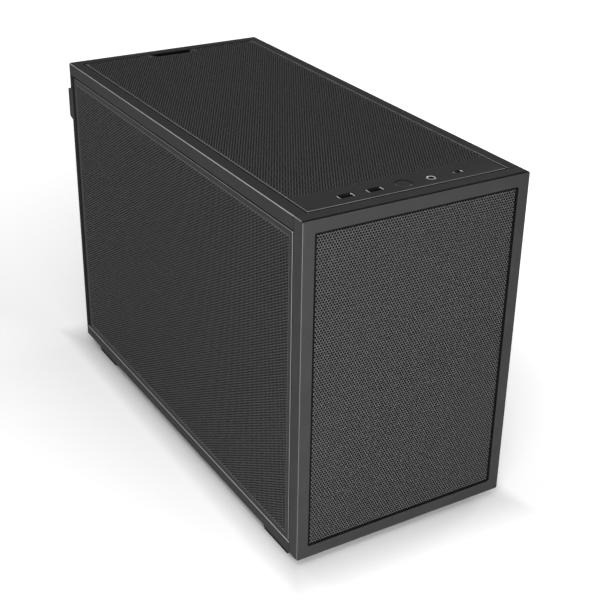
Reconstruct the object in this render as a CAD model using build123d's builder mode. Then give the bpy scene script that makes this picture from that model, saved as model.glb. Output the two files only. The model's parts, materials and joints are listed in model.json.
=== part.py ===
from build123d import *
import math
import os

# A mini tower computer case: a folded steel chassis with a perforated sheet on its front, top
# and both sides. X is to the right seen from the front, Y runs to the rear and Z is up. The
# origin is the middle of the footprint, on the ground. All sizes are in millimetres.

# Body, without the feet below it and the lugs behind it
body_width = 200.0
body_depth = 428.0
body_height = 290.0
foot_height = 10.0
lug_reach = 7.0

# Steel sheet and the gaps between pieces
sheet = 1.0
fold_radius = 1.5
seam = 0.8
seat_gap = 0.3

# Front panel: a face frame, a mesh sheet behind it and a moulded shell behind both
front_depth = 12.0
front_seam = 0.5
face_thickness = 2.2
face_border = 10.0
face_border_end = 10.6
face_corner_radius = 2.5
mesh_thickness = 0.8
mesh_overlap = 4.0
shell_wall = 1.6
shell_flange = 1.5
shell_gusset = 24.0
front_window_side = 15.0
front_window_drop = 38.0
front_window_gap = 7.0
front_window_radius = 5.0
front_fan_rise = 15.0
front_fan_edge = 1.0

# Chassis rails round the inset panels
rail_width = 10.0
top_rail_height = 11.0
base_rail_height = 10.5
post_depth = 8.0
rear_rail_width = 8.5
lip_height = 8.5
shelf_width = 14.0
panel_fold = 8.7

# Perforated fields: border of plain sheet, and the share of a field that is open
side_border = 6.0
top_border = 5.0
open_share = 0.45
side_columns = 10
side_rows = 8
top_columns = 5
top_rows = 12
front_columns = 7
front_rows = 12

# Air slots in the bottom sheet
vent_length = 70.0
vent_width = 7.0
vent_pitch = 16.0
vent_count = 11
vent_column_gap = 14.0

# Row of ports and the power button in the top panel
port_line = 26.0
port_zone = 42.0
port_shift = 1.5
port_plate_margin = 3.0
port_window_edge = 1.0
port_window_play = 0.5
port_board_width = 19.0
port_board_side = 36.0
port_end_margin = 14.0
board_thickness = 1.6
housing_depth = 24.6
housing_wall = 1.8
housing_drop = 11.0
housing_floor = 1.5
housing_ear = 6.0
board_play = 0.5
board_boss_height = 1.5
board_boss_width = 5.0
board_boss_inset = 4.0
port_gap = 0.4
port_floor = 2.5
usb_a_width = 13.2
usb_a_height = 5.8
usb_a_corner = 0.6
usb_c_width = 9.0
usb_c_height = 3.3
usb_c_corner = 1.5
port_metal = 0.35
jack_radius = 1.8
jack_ring_radius = 4.0
jack_body = 10.0
jack_body_height = 12.5
jack_bore_length = 14.0
button_radius = 6.5
button_sink = 0.2
button_edge = 0.4
button_travel = 1.2
button_rest_gap = 0.1
button_flange = 1.0
button_flange_depth = 2.0
button_stem_radius = 2.0
button_clearance = 0.4
guide_sink = 2.5
guide_collar = 2.5
guide_gap = 0.5
guide_wall = 1.0
switch_size = 6.0
switch_height = 4.3
switch_key_height = 0.8
switch_key_radius = 1.7

# Finger notch in the top panel's rear edge
notch_width = 42.0
notch_inner_width = 32.0
notch_depth = 10.0
notch_flare = 1.0
notch_overrun = 2.0
notch_radius = 3.0

# Snap tongues on the panels and their sockets in the chassis
tongue_width = 8.0
tongue_thickness = 3.0
tongue_play = 0.3
tongue_inset = 50.0
top_tongue_inset = 85.0
front_tongue_drop = 17.5
tongue_foot = 1.0
tongue_foot_side = 1.5
tongue_foot_edge = 0.7
tongue_taper = 2.0
tongue_taper_angle = 20.0
tongue_tip_gap = 0.8
socket_wall = 1.2
socket_length = 6.5
socket_barb = 1.0
socket_seat = 0.2

# Main board space
cable_space = 18.5
tray_flange = 5.0
standoff_height = 6.35
standoff_flats = 5.0
standoff_hole_radius = 1.25
board_column_spacing = (0.0, 154.94, 227.33)
board_row_spacing = (0.0, 157.48, 203.2)
board_hole_inset_y = 9.35
board_hole_inset_z = 10.16
board_top_gap = 17.0
board_edge = 10.0
port_aperture_width = 44.45
port_aperture_inset = 5.4
port_aperture_radius = 1.0
aperture_top_gap = 19.0
tray_window_length = 120.0
tray_window_height = 110.0
tray_window_inset_y = 90.0
tray_window_drop = 62.0
tray_window_radius = 6.0
cable_slot_length = 60.0
cable_slot_width = 22.0
cable_slot_radius = 8.0
cable_slot_count = 3
cable_slot_pitch = 84.0

# Expansion slots
slot_count = 4
slot_pitch = 20.32
slot_base_share = 0.351
slot_first_drop = 18.4
slot_opening_width = 12.06
slot_opening_near = 6.0
slot_opening_far = 12.0
slot_cover_width = 18.4
slot_cover_inset = 4.5
slot_inlet_gap = 15.5
slot_tab_reach = 6.2
slot_notch_width = 12.0
slot_notch_play = 0.5
slot_notch_gap = 0.1
slot_bracket_foot = 9.0
slot_screw_reach = 3.5
slot_screw_play = 0.2
slot_screw_seat = 0.1
slot_screw_tip = 3.0
slot_screw_radius = 1.5
slot_screw_head_radius = 2.9
slot_screw_head_height = 2.4

# Rear fan
fan_depth = 25.0
fan_duct_wall = 2.5
fan_hole_inset = 7.5
fan_hole_radius = 2.2
fan_corner_radius = 6.0
fan_flange = 4.0
fan_wall = 1.6
fan_base_depth = 4.5
fan_strut_width = 5.0
fan_strut_depth = 3.0
fan_hub_radius = 20.0
fan_hub_depth = 17.5
fan_hub_start = 2.0
fan_hub_edge = 2.0
fan_blade_count = 7
fan_blade_gap = 3.5
fan_blade_thickness = 1.8
blade_root_inset = 2.0
blade_root_chord = 21.0
blade_tip_chord = 34.0
blade_root_angle = 46.0
blade_tip_angle = 62.0
fan_shaft_radius = 1.5
fan_shaft_play = 0.06
fan_shaft_grip = 3.0
fan_screw_length = 10.0
fan_screw_head_radius = 3.6
fan_screw_seat = 0.1
fan_top_gap = 25.0
fan_margin = 0.7
fan_port_gap = 0.95
grille_pitch = 10.0
grille_web = 2.2

# Power supply bracket and the mains inlet
psu_side_gap = 21.5
psu_height = 86.0
psu_hole_radius = 1.75
psu_hole_inset = 6.0
psu_far_hole_inset = 30.0
psu_hole_rows = (6.0, 70.0, 80.0)
psu_bracket_drop = 34.0
psu_bracket_side = 12.0
psu_bracket_start = 3.0
psu_bracket_end = 5.0
psu_bracket_rise = 9.0
psu_bracket_lip = 8.0
psu_window_side = 15.0
psu_window_end = 14.0
psu_window_shift = 4.0
inlet_width = 20.0
inlet_height = 27.0
inlet_flange_height = 50.0
inlet_flange_width = 23.0
inlet_depth = 20.0
inlet_cavity_width = 16.6
inlet_cavity_height = 24.2
inlet_cavity_depth = 16.0
inlet_flange = 2.5
inlet_corner_radius = 3.0
inlet_play = 0.2
inlet_pin_width = 4.0
inlet_pin_thickness = 2.0
inlet_pin_sink = 2.0
inlet_pin_side = 2.0
inlet_pin_rise = 7.0
inlet_hole_spacing = 40.0
inlet_side_gap = 32.0
inlet_rise = 55.0

# Drive trays behind the main board's sheet
drive_plate_length = 104.0
drive_plate_height = 76.0
drive_plate_offset = 6.0
drive_rise = 35.0
drive_front_offset = 6.0
drive_pitch = 125.0
drive_flange = 8.0
drive_hole_spacing_y = 76.6
drive_hole_spacing_z = 61.72
drive_hole_radius = 1.75

# Feet
foot_length = 45.0
foot_width = 16.0
foot_side_inset = 5.0
foot_end_inset = 19.0
foot_slope = 4.0
foot_screw_radius = 2.0
foot_head_radius = 3.7
foot_head_height = 2.4
foot_pocket_depth = 5.0
foot_slope_drop = 3.3
foot_head_play = 0.4
foot_screw_play = 0.2
foot_screw_tip = 4.0

# Lugs on the rear posts
lug_length = 32.0
lug_tip_length = 27.0
lug_from_end = 40.0
lug_root = 3.0

# Places worked out from the sizes above
side_x = body_width / 2
front_y = -(body_depth + lug_reach) / 2
rear_y = front_y + body_depth
base_z = foot_height
top_z = base_z + body_height
middle_z = base_z + body_height / 2
chassis_y = front_y + front_depth + front_seam
rail_x = side_x - rail_width
lip_x = rail_x + sheet
opening_low_z = base_z + base_rail_height
opening_high_z = top_z - top_rail_height
opening_rear_y = rear_y - post_depth
panel_front_y = front_y + front_depth + seam
panel_rear_y = opening_rear_y - seam
panel_low_z = opening_low_z + seam
panel_high_z = opening_high_z - seam
shelf_z = top_z - panel_fold - seat_gap
top_rear_y = rear_y - rear_rail_width
inside_rear_y = rear_y - sheet
inside_base_z = base_z + sheet
port_y = front_y + port_line
tray_x = side_x - cable_space
port_board_length = body_width - 2 * port_board_side
port_pitch = (port_board_length - 2 * port_end_margin) / 4
board_top_z = top_z - board_top_gap
board_hole_z = board_top_z - board_hole_inset_z
board_hole_y = rear_y - board_hole_inset_y
aperture_x = tray_x - port_aperture_inset - port_aperture_width / 2
fan_size = rail_x - fan_margin + aperture_x - port_aperture_width / 2 - fan_port_gap
fan_duct_radius = fan_size / 2 - fan_duct_wall
fan_hole_spacing = fan_size - 2 * fan_hole_inset
fan_blade_tip = fan_duct_radius - fan_blade_gap
fan_x = -rail_x + fan_margin + fan_size / 2
fan_z = top_z - fan_top_gap - fan_size / 2
fan_y = inside_rear_y - fan_depth
slot_stack = (slot_count - 1) * slot_pitch + slot_cover_width
slot_free_height = fan_z - fan_size / 2 - inside_base_z - slot_stack
slot_low_z = inside_base_z + slot_base_share * slot_free_height + slot_cover_width / 2
slot_top_z = slot_low_z + (slot_count - 1) * slot_pitch
aperture_low_z = slot_top_z + slot_first_drop
aperture_high_z = top_z - aperture_top_gap
psu_width = tray_x + rail_x - psu_side_gap
psu_bracket_z = top_z - psu_bracket_drop
inlet_x = -side_x + inlet_side_gap
inlet_z = base_z + inlet_rise
slot_near_x = tray_x - slot_cover_inset
slot_far_x = inlet_x + inlet_flange_width / 2 + slot_inlet_gap
slot_opening_start_x = slot_far_x + slot_opening_far
slot_opening_end_x = slot_near_x - slot_opening_near


def folded_outline(points):
    """The closed outline of a sheet folded along the points, one thickness to their left."""
    with BuildSketch() as outline:
        with BuildLine():
            FilletPolyline(*points, radius=fold_radius)
            offset(amount=sheet, side=Side.LEFT)
        make_face()
    return outline.sketch


def diamond_gap(half_width, half_height):
    """One four-sided gap of a perforated field."""
    with BuildSketch() as gap:
        with BuildLine():
            Polyline(
                (half_width, 0),
                (0, half_height),
                (-half_width, 0),
                (0, -half_height),
                close=True,
            )
        make_face()
    return gap.sketch


def perforated_field(width, height, columns, rows):
    """Staggered gaps that fill a field of the given size about the sketch's origin."""
    pitch = width / columns
    row_pitch = height / rows
    half_gap = math.sqrt(open_share / 2)
    gap = diamond_gap(half_gap * pitch, half_gap * row_pitch)
    with BuildSketch() as field:
        for row in range(rows):
            count = columns - row % 2
            row_y = (row + 0.5) * row_pitch - height / 2
            for column in range(count):
                gap_x = (column + 0.5 - count / 2) * pitch
                with Locations((gap_x, row_y)):
                    add(gap)
    return field.sketch


# Bottom sheet, folded up into the two lower rails and their lips
base_length = inside_rear_y - chassis_y
base_points = [
    (-lip_x, opening_low_z + lip_height),
    (-lip_x, opening_low_z),
    (-side_x, opening_low_z),
    (-side_x, base_z),
    (side_x, base_z),
    (side_x, opening_low_z),
    (lip_x, opening_low_z),
    (lip_x, opening_low_z + lip_height),
]
foot_x = side_x - foot_side_inset - foot_width / 2
foot_front_y = front_y + foot_end_inset + foot_length / 2
foot_rear_y = rear_y - foot_end_inset - foot_length / 2
foot_places = [
    (foot_x * side, place_y)
    for side in (-1, 1)
    for place_y in (foot_front_y, foot_rear_y)
]
tongue_places_y = (panel_front_y + tongue_inset, panel_rear_y - tongue_inset)
tongue_offset = sheet + socket_seat + (tongue_thickness + socket_wall) / 2
base_tongue_z = panel_low_z + tongue_offset
roof_tongue_z = panel_high_z - tongue_offset
socket_outer_width = tongue_width + 2 * tongue_play + 2 * socket_wall
socket_outer_height = tongue_thickness + 2 * tongue_play + 2 * socket_wall
with BuildPart() as base_tray:
    with BuildSketch(Plane.XZ.offset(-chassis_y)):
        add(folded_outline(base_points))
    extrude(amount=-base_length)
    with BuildSketch(Plane.XY.offset(base_z)):
        with GridLocations(vent_length + vent_column_gap, vent_pitch, 2, vent_count):
            Rectangle(vent_length, vent_width)
        with Locations(*foot_places):
            Circle(foot_screw_radius + foot_screw_play)
    extrude(amount=sheet, mode=Mode.SUBTRACT)
    for side in (-1, 1):
        with BuildSketch(Plane.YZ.offset(side * lip_x)):
            with Locations(*[(place_y, base_tongue_z) for place_y in tongue_places_y]):
                Rectangle(socket_outer_width, socket_outer_height)
        extrude(amount=-side * sheet, mode=Mode.SUBTRACT)
base_tray.part.label = "base_tray"

# Upper frame: two side rails and a rear rail round the top panel, a shelf under its edge and
# a plate at the front for the ports
port_plate_rear_y = front_y + port_zone + port_plate_margin
port_window_width = port_board_length - 2 * port_window_edge
port_window_depth = port_board_width + 2 * port_window_play
roof_opening_width = 2 * (rail_x - shelf_width)
roof_opening_length = top_rear_y - shelf_width - port_plate_rear_y
top_tongue_x = rail_x - seam - tongue_offset
top_tongue_places_y = (
    panel_front_y + top_tongue_inset,
    top_rear_y - seam - top_tongue_inset,
)
top_tongue_places = [
    (side * top_tongue_x, place_y) for side in (-1, 1) for place_y in top_tongue_places_y
]
with BuildPart() as top_frame:
    with BuildSketch(Plane.XY.offset(opening_high_z)):
        with Locations((0, (chassis_y + inside_rear_y) / 2)):
            Rectangle(body_width, base_length)
    extrude(amount=top_rail_height)
    fillet(top_frame.edges().filter_by(Axis.Y).group_by(Axis.Z)[-1], radius=fold_radius)
    frame_ends = top_frame.faces().sort_by(Axis.Y)[0]
    offset(amount=-sheet, openings=[top_frame.faces().sort_by(Axis.Z)[0], frame_ends])
    with BuildSketch(Plane.XY.offset(top_z - sheet)):
        with Locations((0, (chassis_y + top_rear_y) / 2)):
            Rectangle(2 * rail_x, top_rear_y - chassis_y)
    extrude(amount=sheet, mode=Mode.SUBTRACT)
    with BuildSketch(Plane.XY.offset(shelf_z - sheet)):
        with Locations((0, (chassis_y + top_rear_y + sheet) / 2)):
            Rectangle(2 * lip_x, top_rear_y + sheet - chassis_y)
        with Locations((0, (chassis_y + top_rear_y) / 2)):
            Rectangle(2 * rail_x, top_rear_y - chassis_y, mode=Mode.SUBTRACT)
    extrude(amount=top_z - shelf_z)
    with BuildSketch(Plane.XY.offset(shelf_z - sheet)):
        with Locations((0, (chassis_y + top_rear_y + sheet) / 2)):
            Rectangle(2 * lip_x, top_rear_y + sheet - chassis_y)
        with Locations((0, (port_plate_rear_y + top_rear_y - shelf_width) / 2)):
            Rectangle(roof_opening_width, roof_opening_length, mode=Mode.SUBTRACT)
        with Locations((0, port_y)):
            Rectangle(port_window_width, port_window_depth, mode=Mode.SUBTRACT)
        with Locations(*top_tongue_places):
            Rectangle(socket_outer_height, socket_outer_width, mode=Mode.SUBTRACT)
    extrude(amount=sheet)
    with BuildSketch(Plane.XY.offset(opening_high_z)):
        with Locations((0, inside_rear_y - sheet / 2)):
            Rectangle(2 * rail_x, sheet)
    extrude(amount=shelf_z - sheet - opening_high_z, mode=Mode.SUBTRACT)
    for side in (-1, 1):
        with BuildSketch(Plane.XY.offset(opening_high_z)):
            with Locations((side * (side_x + rail_x) / 2, (chassis_y + inside_rear_y) / 2)):
                Rectangle(side_x - rail_x, base_length)
        extrude(amount=sheet)
        with BuildSketch(Plane.XY.offset(opening_high_z - lip_height)):
            with Locations((side * (lip_x + rail_x) / 2, (chassis_y + inside_rear_y) / 2)):
                Rectangle(lip_x - rail_x, base_length)
        extrude(amount=shelf_z - opening_high_z + lip_height)
        with BuildSketch(Plane.YZ.offset(side * lip_x)):
            with Locations(*[(place_y, roof_tongue_z) for place_y in tongue_places_y]):
                Rectangle(socket_outer_width, socket_outer_height)
        extrude(amount=-side * sheet, mode=Mode.SUBTRACT)
top_frame.part.label = "top_frame"

# Inner front sheet: a folded pan between the rails with an air window and a fan opening
front_pan_low_z = opening_low_z + lip_height + seat_gap
front_pan_high_z = opening_high_z - lip_height - seat_gap
front_pan_points = [
    (lip_x, chassis_y + lip_height),
    (lip_x, chassis_y),
    (-lip_x, chassis_y),
    (-lip_x, chassis_y + lip_height),
]
front_window_width = 2 * (rail_x - front_window_side)
front_window_low_z = base_z + front_fan_rise + fan_size + front_window_gap
front_window_high_z = top_z - front_window_drop
front_window_height = front_window_high_z - front_window_low_z
front_window_z = (front_window_high_z + front_window_low_z) / 2
front_fan_z = base_z + front_fan_rise + fan_size / 2
front_tongue_x = rail_x - seam - socket_outer_height / 2
front_tongue_places = [
    (side * front_tongue_x, place_z)
    for side in (-1, 1)
    for place_z in (base_z + front_tongue_drop, top_z - front_tongue_drop)
]
with BuildPart() as front_frame:
    with BuildSketch(Plane.XY.offset(front_pan_low_z)):
        add(folded_outline(front_pan_points[::-1]))
    extrude(amount=front_pan_high_z - front_pan_low_z)
    with BuildSketch(Plane.XZ.offset(-chassis_y)):
        with Locations((0, (inside_base_z + shelf_z - sheet) / 2)):
            Rectangle(2 * rail_x, shelf_z - sheet - inside_base_z)
    extrude(amount=-sheet)
    with BuildSketch(Plane.XZ.offset(-chassis_y)):
        with Locations((0, front_window_z)):
            RectangleRounded(front_window_width, front_window_height, front_window_radius)
        with Locations((0, front_fan_z)):
            Circle(fan_duct_radius - front_fan_edge)
            with GridLocations(fan_hole_spacing, fan_hole_spacing, 2, 2):
                Circle(fan_hole_radius)
        with Locations(*front_tongue_places):
            Rectangle(socket_outer_height, socket_outer_width)
    extrude(amount=-sheet, mode=Mode.SUBTRACT)
front_frame.part.label = "front_frame"

# Rear sheet, folded into the two rear posts, with its lugs and all its cut-outs
post_root_x = lip_x + fold_radius + seat_gap
rear_post_points = [
    (lip_x, opening_rear_y - lip_height),
    (lip_x, opening_rear_y),
    (side_x, opening_rear_y),
    (side_x, rear_y),
    (-side_x, rear_y),
    (-side_x, opening_rear_y),
    (-lip_x, opening_rear_y),
    (-lip_x, opening_rear_y - lip_height),
]
plain_post_points = [
    (post_root_x, opening_rear_y),
    *rear_post_points[2:-2],
    (-post_root_x, opening_rear_y),
]
lug_root_y = rear_y - lug_root
lug_points = [
    (lug_root_y, lug_length / 2),
    (rear_y, lug_length / 2),
    (rear_y + lug_reach, lug_tip_length / 2),
    (rear_y + lug_reach, -lug_tip_length / 2),
    (rear_y, -lug_length / 2),
    (lug_root_y, -lug_length / 2),
]
slot_heights = [slot_top_z - number * slot_pitch for number in range(slot_count)]
slot_middle_z = (slot_heights[0] + slot_heights[-1]) / 2
slot_opening_x = (slot_opening_start_x + slot_opening_end_x) / 2
slot_opening_length = slot_opening_end_x - slot_opening_start_x
slot_notch_x = slot_far_x + fold_radius - sheet + slot_notch_gap - slot_notch_width / 2
slot_notch_height = slot_stack + 2 * slot_notch_play
aperture_z = (aperture_low_z + aperture_high_z) / 2
aperture_height = aperture_high_z - aperture_low_z
with BuildPart() as rear_panel:
    with BuildSketch(Plane.XY.offset(opening_low_z)):
        add(folded_outline(plain_post_points))
    extrude(amount=opening_high_z - opening_low_z)
    with BuildSketch(Plane.XY.offset(front_pan_low_z)):
        add(folded_outline(rear_post_points))
    extrude(amount=front_pan_high_z - front_pan_low_z)
    for side in (-1, 1):
        for lug_z in (base_z + lug_from_end, top_z - lug_from_end):
            with BuildSketch(Plane.YZ.offset(side * side_x)):
                with BuildLine():
                    Polyline(*[(y, lug_z + z) for y, z in lug_points], close=True)
                make_face()
            extrude(amount=-side * sheet)
    with BuildSketch(Plane.XZ.offset(-inside_rear_y)):
        with Locations((0, middle_z)):
            RectangleRounded(body_width, body_height, fold_radius)
    extrude(amount=-sheet)
    with BuildSketch(Plane.XZ.offset(-inside_rear_y)):
        with Locations((aperture_x, aperture_z)):
            RectangleRounded(port_aperture_width, aperture_height, port_aperture_radius)
        with Locations(*[(slot_opening_x, slot_z) for slot_z in slot_heights]):
            Rectangle(slot_opening_length, slot_opening_width)
        with Locations((slot_notch_x, slot_middle_z)):
            Rectangle(slot_notch_width, slot_notch_height)
        with Locations((inlet_x, inlet_z)):
            Rectangle(inlet_width + 2 * inlet_play, inlet_height + 2 * inlet_play)
        with Locations((fan_x, fan_z)):
            with GridLocations(fan_hole_spacing, fan_hole_spacing, 2, 2):
                Circle(fan_hole_radius)
    extrude(amount=-sheet, mode=Mode.SUBTRACT)
    with BuildSketch(Plane.XZ.offset(-inside_rear_y)):
        row_pitch = grille_pitch * math.sin(math.radians(60))
        row_limit = int(fan_duct_radius / row_pitch)
        gap_radius = (grille_pitch - grille_web) / math.sqrt(3)
        for row in range(-row_limit, row_limit + 1):
            shift = grille_pitch / 2 * (row % 2)
            for column in range(-row_limit, row_limit + 1):
                gap_x = column * grille_pitch + shift
                gap_z = row * row_pitch
                if math.hypot(gap_x, gap_z) + gap_radius < fan_duct_radius:
                    with Locations((fan_x + gap_x, fan_z + gap_z)):
                        RegularPolygon(gap_radius, 6, rotation=30)
    extrude(amount=-sheet, mode=Mode.SUBTRACT)
rear_panel.part.label = "rear_panel"

# Upright sheet that carries the main board, folded at its top and bottom
tray_front_y = chassis_y + sheet
tray_back_x = tray_x + sheet
tray_points = [
    (tray_x - tray_flange, inside_base_z),
    (tray_back_x, inside_base_z),
    (tray_back_x, shelf_z - sheet),
    (tray_x - tray_flange, shelf_z - sheet),
]
board_front_y = board_hole_y - board_column_spacing[-1] - board_edge
tray_window_y = board_hole_y - tray_window_inset_y
tray_window_z = board_hole_z - tray_window_drop
cable_slot_y = board_front_y - cable_slot_width
cable_slot_z = middle_z
with BuildPart() as motherboard_tray:
    with BuildSketch(Plane.XZ.offset(-tray_front_y)):
        add(folded_outline(tray_points))
    extrude(amount=-(inside_rear_y - tray_front_y))
    with BuildSketch(Plane.YZ.offset(tray_x)):
        with Locations((tray_window_y, tray_window_z)):
            RectangleRounded(tray_window_length, tray_window_height, tray_window_radius)
        with Locations((cable_slot_y, cable_slot_z)):
            with GridLocations(1, cable_slot_pitch, 1, cable_slot_count):
                RectangleRounded(cable_slot_width, cable_slot_length, cable_slot_radius)
    extrude(amount=sheet, mode=Mode.SUBTRACT)
motherboard_tray.part.label = "motherboard_tray"

# Nine hexagonal standoffs for the main board
standoff_places = [
    (board_hole_y - column, board_hole_z - row)
    for column in board_column_spacing
    for row in board_row_spacing
]
with BuildPart() as standoffs:
    with BuildSketch(Plane.YZ.offset(tray_x)):
        with Locations(*standoff_places):
            RegularPolygon(standoff_flats / 2, 6, major_radius=False)
            Circle(standoff_hole_radius, mode=Mode.SUBTRACT)
    extrude(amount=-standoff_height)
standoffs.part.label = "standoffs"

# Covers of the expansion slots: each a plate with a tab folded out through the rear sheet
slot_cover_points = [
    (slot_far_x - sheet, rear_y + slot_tab_reach),
    (slot_far_x - sheet, inside_rear_y - sheet),
    (slot_near_x, inside_rear_y - sheet),
]
slot_screw_y = rear_y + slot_screw_reach
slot_screw_places = [(slot_screw_y, slot_z) for slot_z in slot_heights]
slot_covers = []
for number, slot_z in enumerate(slot_heights, start=1):
    with BuildPart() as slot_cover:
        with BuildSketch(Plane.XY.offset(slot_z - slot_cover_width / 2)):
            add(folded_outline(slot_cover_points))
        extrude(amount=slot_cover_width)
        with BuildSketch(Plane.YZ.offset(slot_far_x)):
            with Locations((slot_screw_y, slot_z)):
                Circle(slot_screw_radius + slot_screw_play)
        extrude(amount=-sheet, mode=Mode.SUBTRACT)
    slot_cover.part.label = f"slot_cover_{number}"
    slot_covers.append(slot_cover.part)

# Angle on the rear sheet that the slot covers are screwed to
slot_bracket_points = [
    (slot_far_x, rear_y + slot_tab_reach),
    (slot_far_x, rear_y),
    (slot_far_x + slot_bracket_foot, rear_y),
]
with BuildPart() as slot_bracket:
    with BuildSketch(Plane.XY.offset(slot_middle_z - slot_notch_height / 2)):
        add(folded_outline(slot_bracket_points))
    extrude(amount=slot_notch_height)
    with BuildSketch(Plane.YZ.offset(slot_far_x)):
        with Locations(*slot_screw_places):
            Circle(slot_screw_radius + slot_screw_seat)
    extrude(amount=sheet, mode=Mode.SUBTRACT)
slot_bracket.part.label = "slot_bracket"

# Screws of the slot covers
with BuildPart() as slot_screws:
    with BuildSketch(Plane.YZ.offset(slot_far_x - sheet)):
        with Locations(*slot_screw_places):
            Circle(slot_screw_head_radius)
    extrude(amount=-slot_screw_head_height)
    with BuildSketch(Plane.YZ.offset(slot_far_x - sheet)):
        with Locations(*slot_screw_places):
            Circle(slot_screw_radius)
    extrude(amount=sheet + slot_screw_tip)
slot_screws.part.label = "slot_screws"

# Frame of the rear fan: two square flanges joined by a round duct, with a motor base on struts
fan_plane = Plane(origin=(fan_x, fan_y, fan_z), x_dir=(1, 0, 0), z_dir=(0, 1, 0))
with BuildPart() as fan_frame:
    for start in (0, fan_depth - fan_flange):
        with BuildSketch(fan_plane.offset(start)):
            RectangleRounded(fan_size, fan_size, fan_corner_radius)
            with GridLocations(fan_hole_spacing, fan_hole_spacing, 2, 2):
                Circle(fan_hole_radius, mode=Mode.SUBTRACT)
        extrude(amount=fan_flange)
    with BuildSketch(fan_plane):
        Circle(fan_duct_radius + fan_wall)
    extrude(amount=fan_depth)
    with BuildSketch(fan_plane):
        Circle(fan_duct_radius)
    extrude(amount=fan_depth, mode=Mode.SUBTRACT)
    with BuildSketch(fan_plane.offset(fan_depth - fan_base_depth)):
        Circle(fan_hub_radius)
    extrude(amount=fan_base_depth)
    with BuildSketch(fan_plane.offset(fan_depth - fan_strut_depth)):
        for angle in (45, 135):
            with Locations(Rotation(0, 0, angle)):
                Rectangle(2 * fan_duct_radius + fan_wall, fan_strut_width)
    extrude(amount=fan_strut_depth)
    with BuildSketch(fan_plane.offset(fan_depth - fan_base_depth)):
        Circle(fan_shaft_radius + fan_shaft_play)
    extrude(amount=fan_base_depth - sheet, mode=Mode.SUBTRACT)
fan_frame.part.label = "fan_frame"

# One blade of the fan, twisted from its root in the hub to its tip
blade_root_x = fan_hub_radius - blade_root_inset
blade_middle = fan_hub_start + fan_hub_depth / 2
with BuildPart() as fan_blade:
    blade_plane = Plane(origin=(blade_root_x, 0, blade_middle), x_dir=(0, 1, 0), z_dir=(1, 0, 0))
    with BuildSketch(blade_plane):
        with Locations(Rotation(0, 0, 90 - blade_root_angle)):
            Rectangle(blade_root_chord, fan_blade_thickness)
    with BuildSketch(blade_plane.offset(fan_blade_tip - blade_root_x)):
        with Locations(Rotation(0, 0, 90 - blade_tip_angle)):
            Rectangle(blade_tip_chord, fan_blade_thickness)
    loft(ruled=True)

# The fan's rotor: a hub with its shaft and the ring of blades
with BuildPart(fan_plane) as fan_rotor:
    with BuildSketch(fan_plane.offset(fan_hub_start)):
        Circle(fan_hub_radius)
    extrude(amount=fan_hub_depth)
    chamfer(fan_rotor.faces().sort_by(Axis.Y)[0].edges(), length=fan_hub_edge)
    with BuildSketch(fan_plane.offset(fan_hub_start + fan_hub_depth)):
        Circle(fan_shaft_radius)
    extrude(amount=fan_depth - fan_base_depth - fan_hub_start - fan_hub_depth + fan_shaft_grip)
    with PolarLocations(0, fan_blade_count):
        add(fan_blade.part)
fan_rotor.part.label = "fan_rotor"

# Screws that hold the fan to the rear sheet
with BuildPart() as fan_screws:
    with BuildSketch(Plane.XZ.offset(-rear_y)):
        with Locations((fan_x, fan_z)):
            with GridLocations(fan_hole_spacing, fan_hole_spacing, 2, 2):
                Circle(fan_screw_head_radius)
    extrude(amount=-slot_screw_head_height)
    with BuildSketch(Plane.XZ.offset(-rear_y)):
        with Locations((fan_x, fan_z)):
            with GridLocations(fan_hole_spacing, fan_hole_spacing, 2, 2):
                Circle(fan_hole_radius - fan_screw_seat)
    extrude(amount=fan_screw_length)
fan_screws.part.label = "fan_screws"

# Bracket that the power supply hangs from, between the front sheet and the board's sheet
psu_bracket_start_x = tray_x - psu_width - psu_bracket_side
psu_middle_x = (psu_bracket_start_x + tray_x) / 2
psu_start_y = tray_front_y + psu_bracket_start
psu_middle_y = psu_start_y + psu_height / 2
psu_bracket_end_y = psu_start_y + psu_height + psu_bracket_end
psu_bracket_points = [
    (tray_front_y, psu_bracket_z + psu_bracket_rise),
    (tray_front_y, psu_bracket_z),
    (psu_bracket_end_y, psu_bracket_z),
    (psu_bracket_end_y, psu_bracket_z - psu_bracket_lip),
]
psu_hole_x = psu_width / 2 - psu_hole_inset
psu_far_hole_x = psu_width / 2 - psu_far_hole_inset
psu_hole_places = [
    (psu_middle_x - psu_hole_x, psu_start_y + psu_hole_rows[0]),
    (psu_middle_x + psu_hole_x, psu_start_y + psu_hole_rows[0]),
    (psu_middle_x - psu_hole_x, psu_start_y + psu_hole_rows[1]),
    (psu_middle_x + psu_far_hole_x, psu_start_y + psu_hole_rows[2]),
]
with BuildPart() as psu_bracket:
    with BuildSketch(Plane.YZ.offset(psu_bracket_start_x)):
        add(folded_outline(psu_bracket_points))
    extrude(amount=tray_x - psu_bracket_start_x)
    with BuildSketch(Plane.XY.offset(psu_bracket_z)):
        with Locations((psu_middle_x, psu_middle_y - psu_window_shift)):
            RectangleRounded(
                psu_width - 2 * psu_window_side,
                psu_height - 2 * psu_window_end,
                front_window_radius,
            )
        with Locations(*psu_hole_places):
            Circle(psu_hole_radius)
    extrude(amount=sheet, mode=Mode.SUBTRACT)
psu_bracket.part.label = "psu_bracket"

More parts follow.
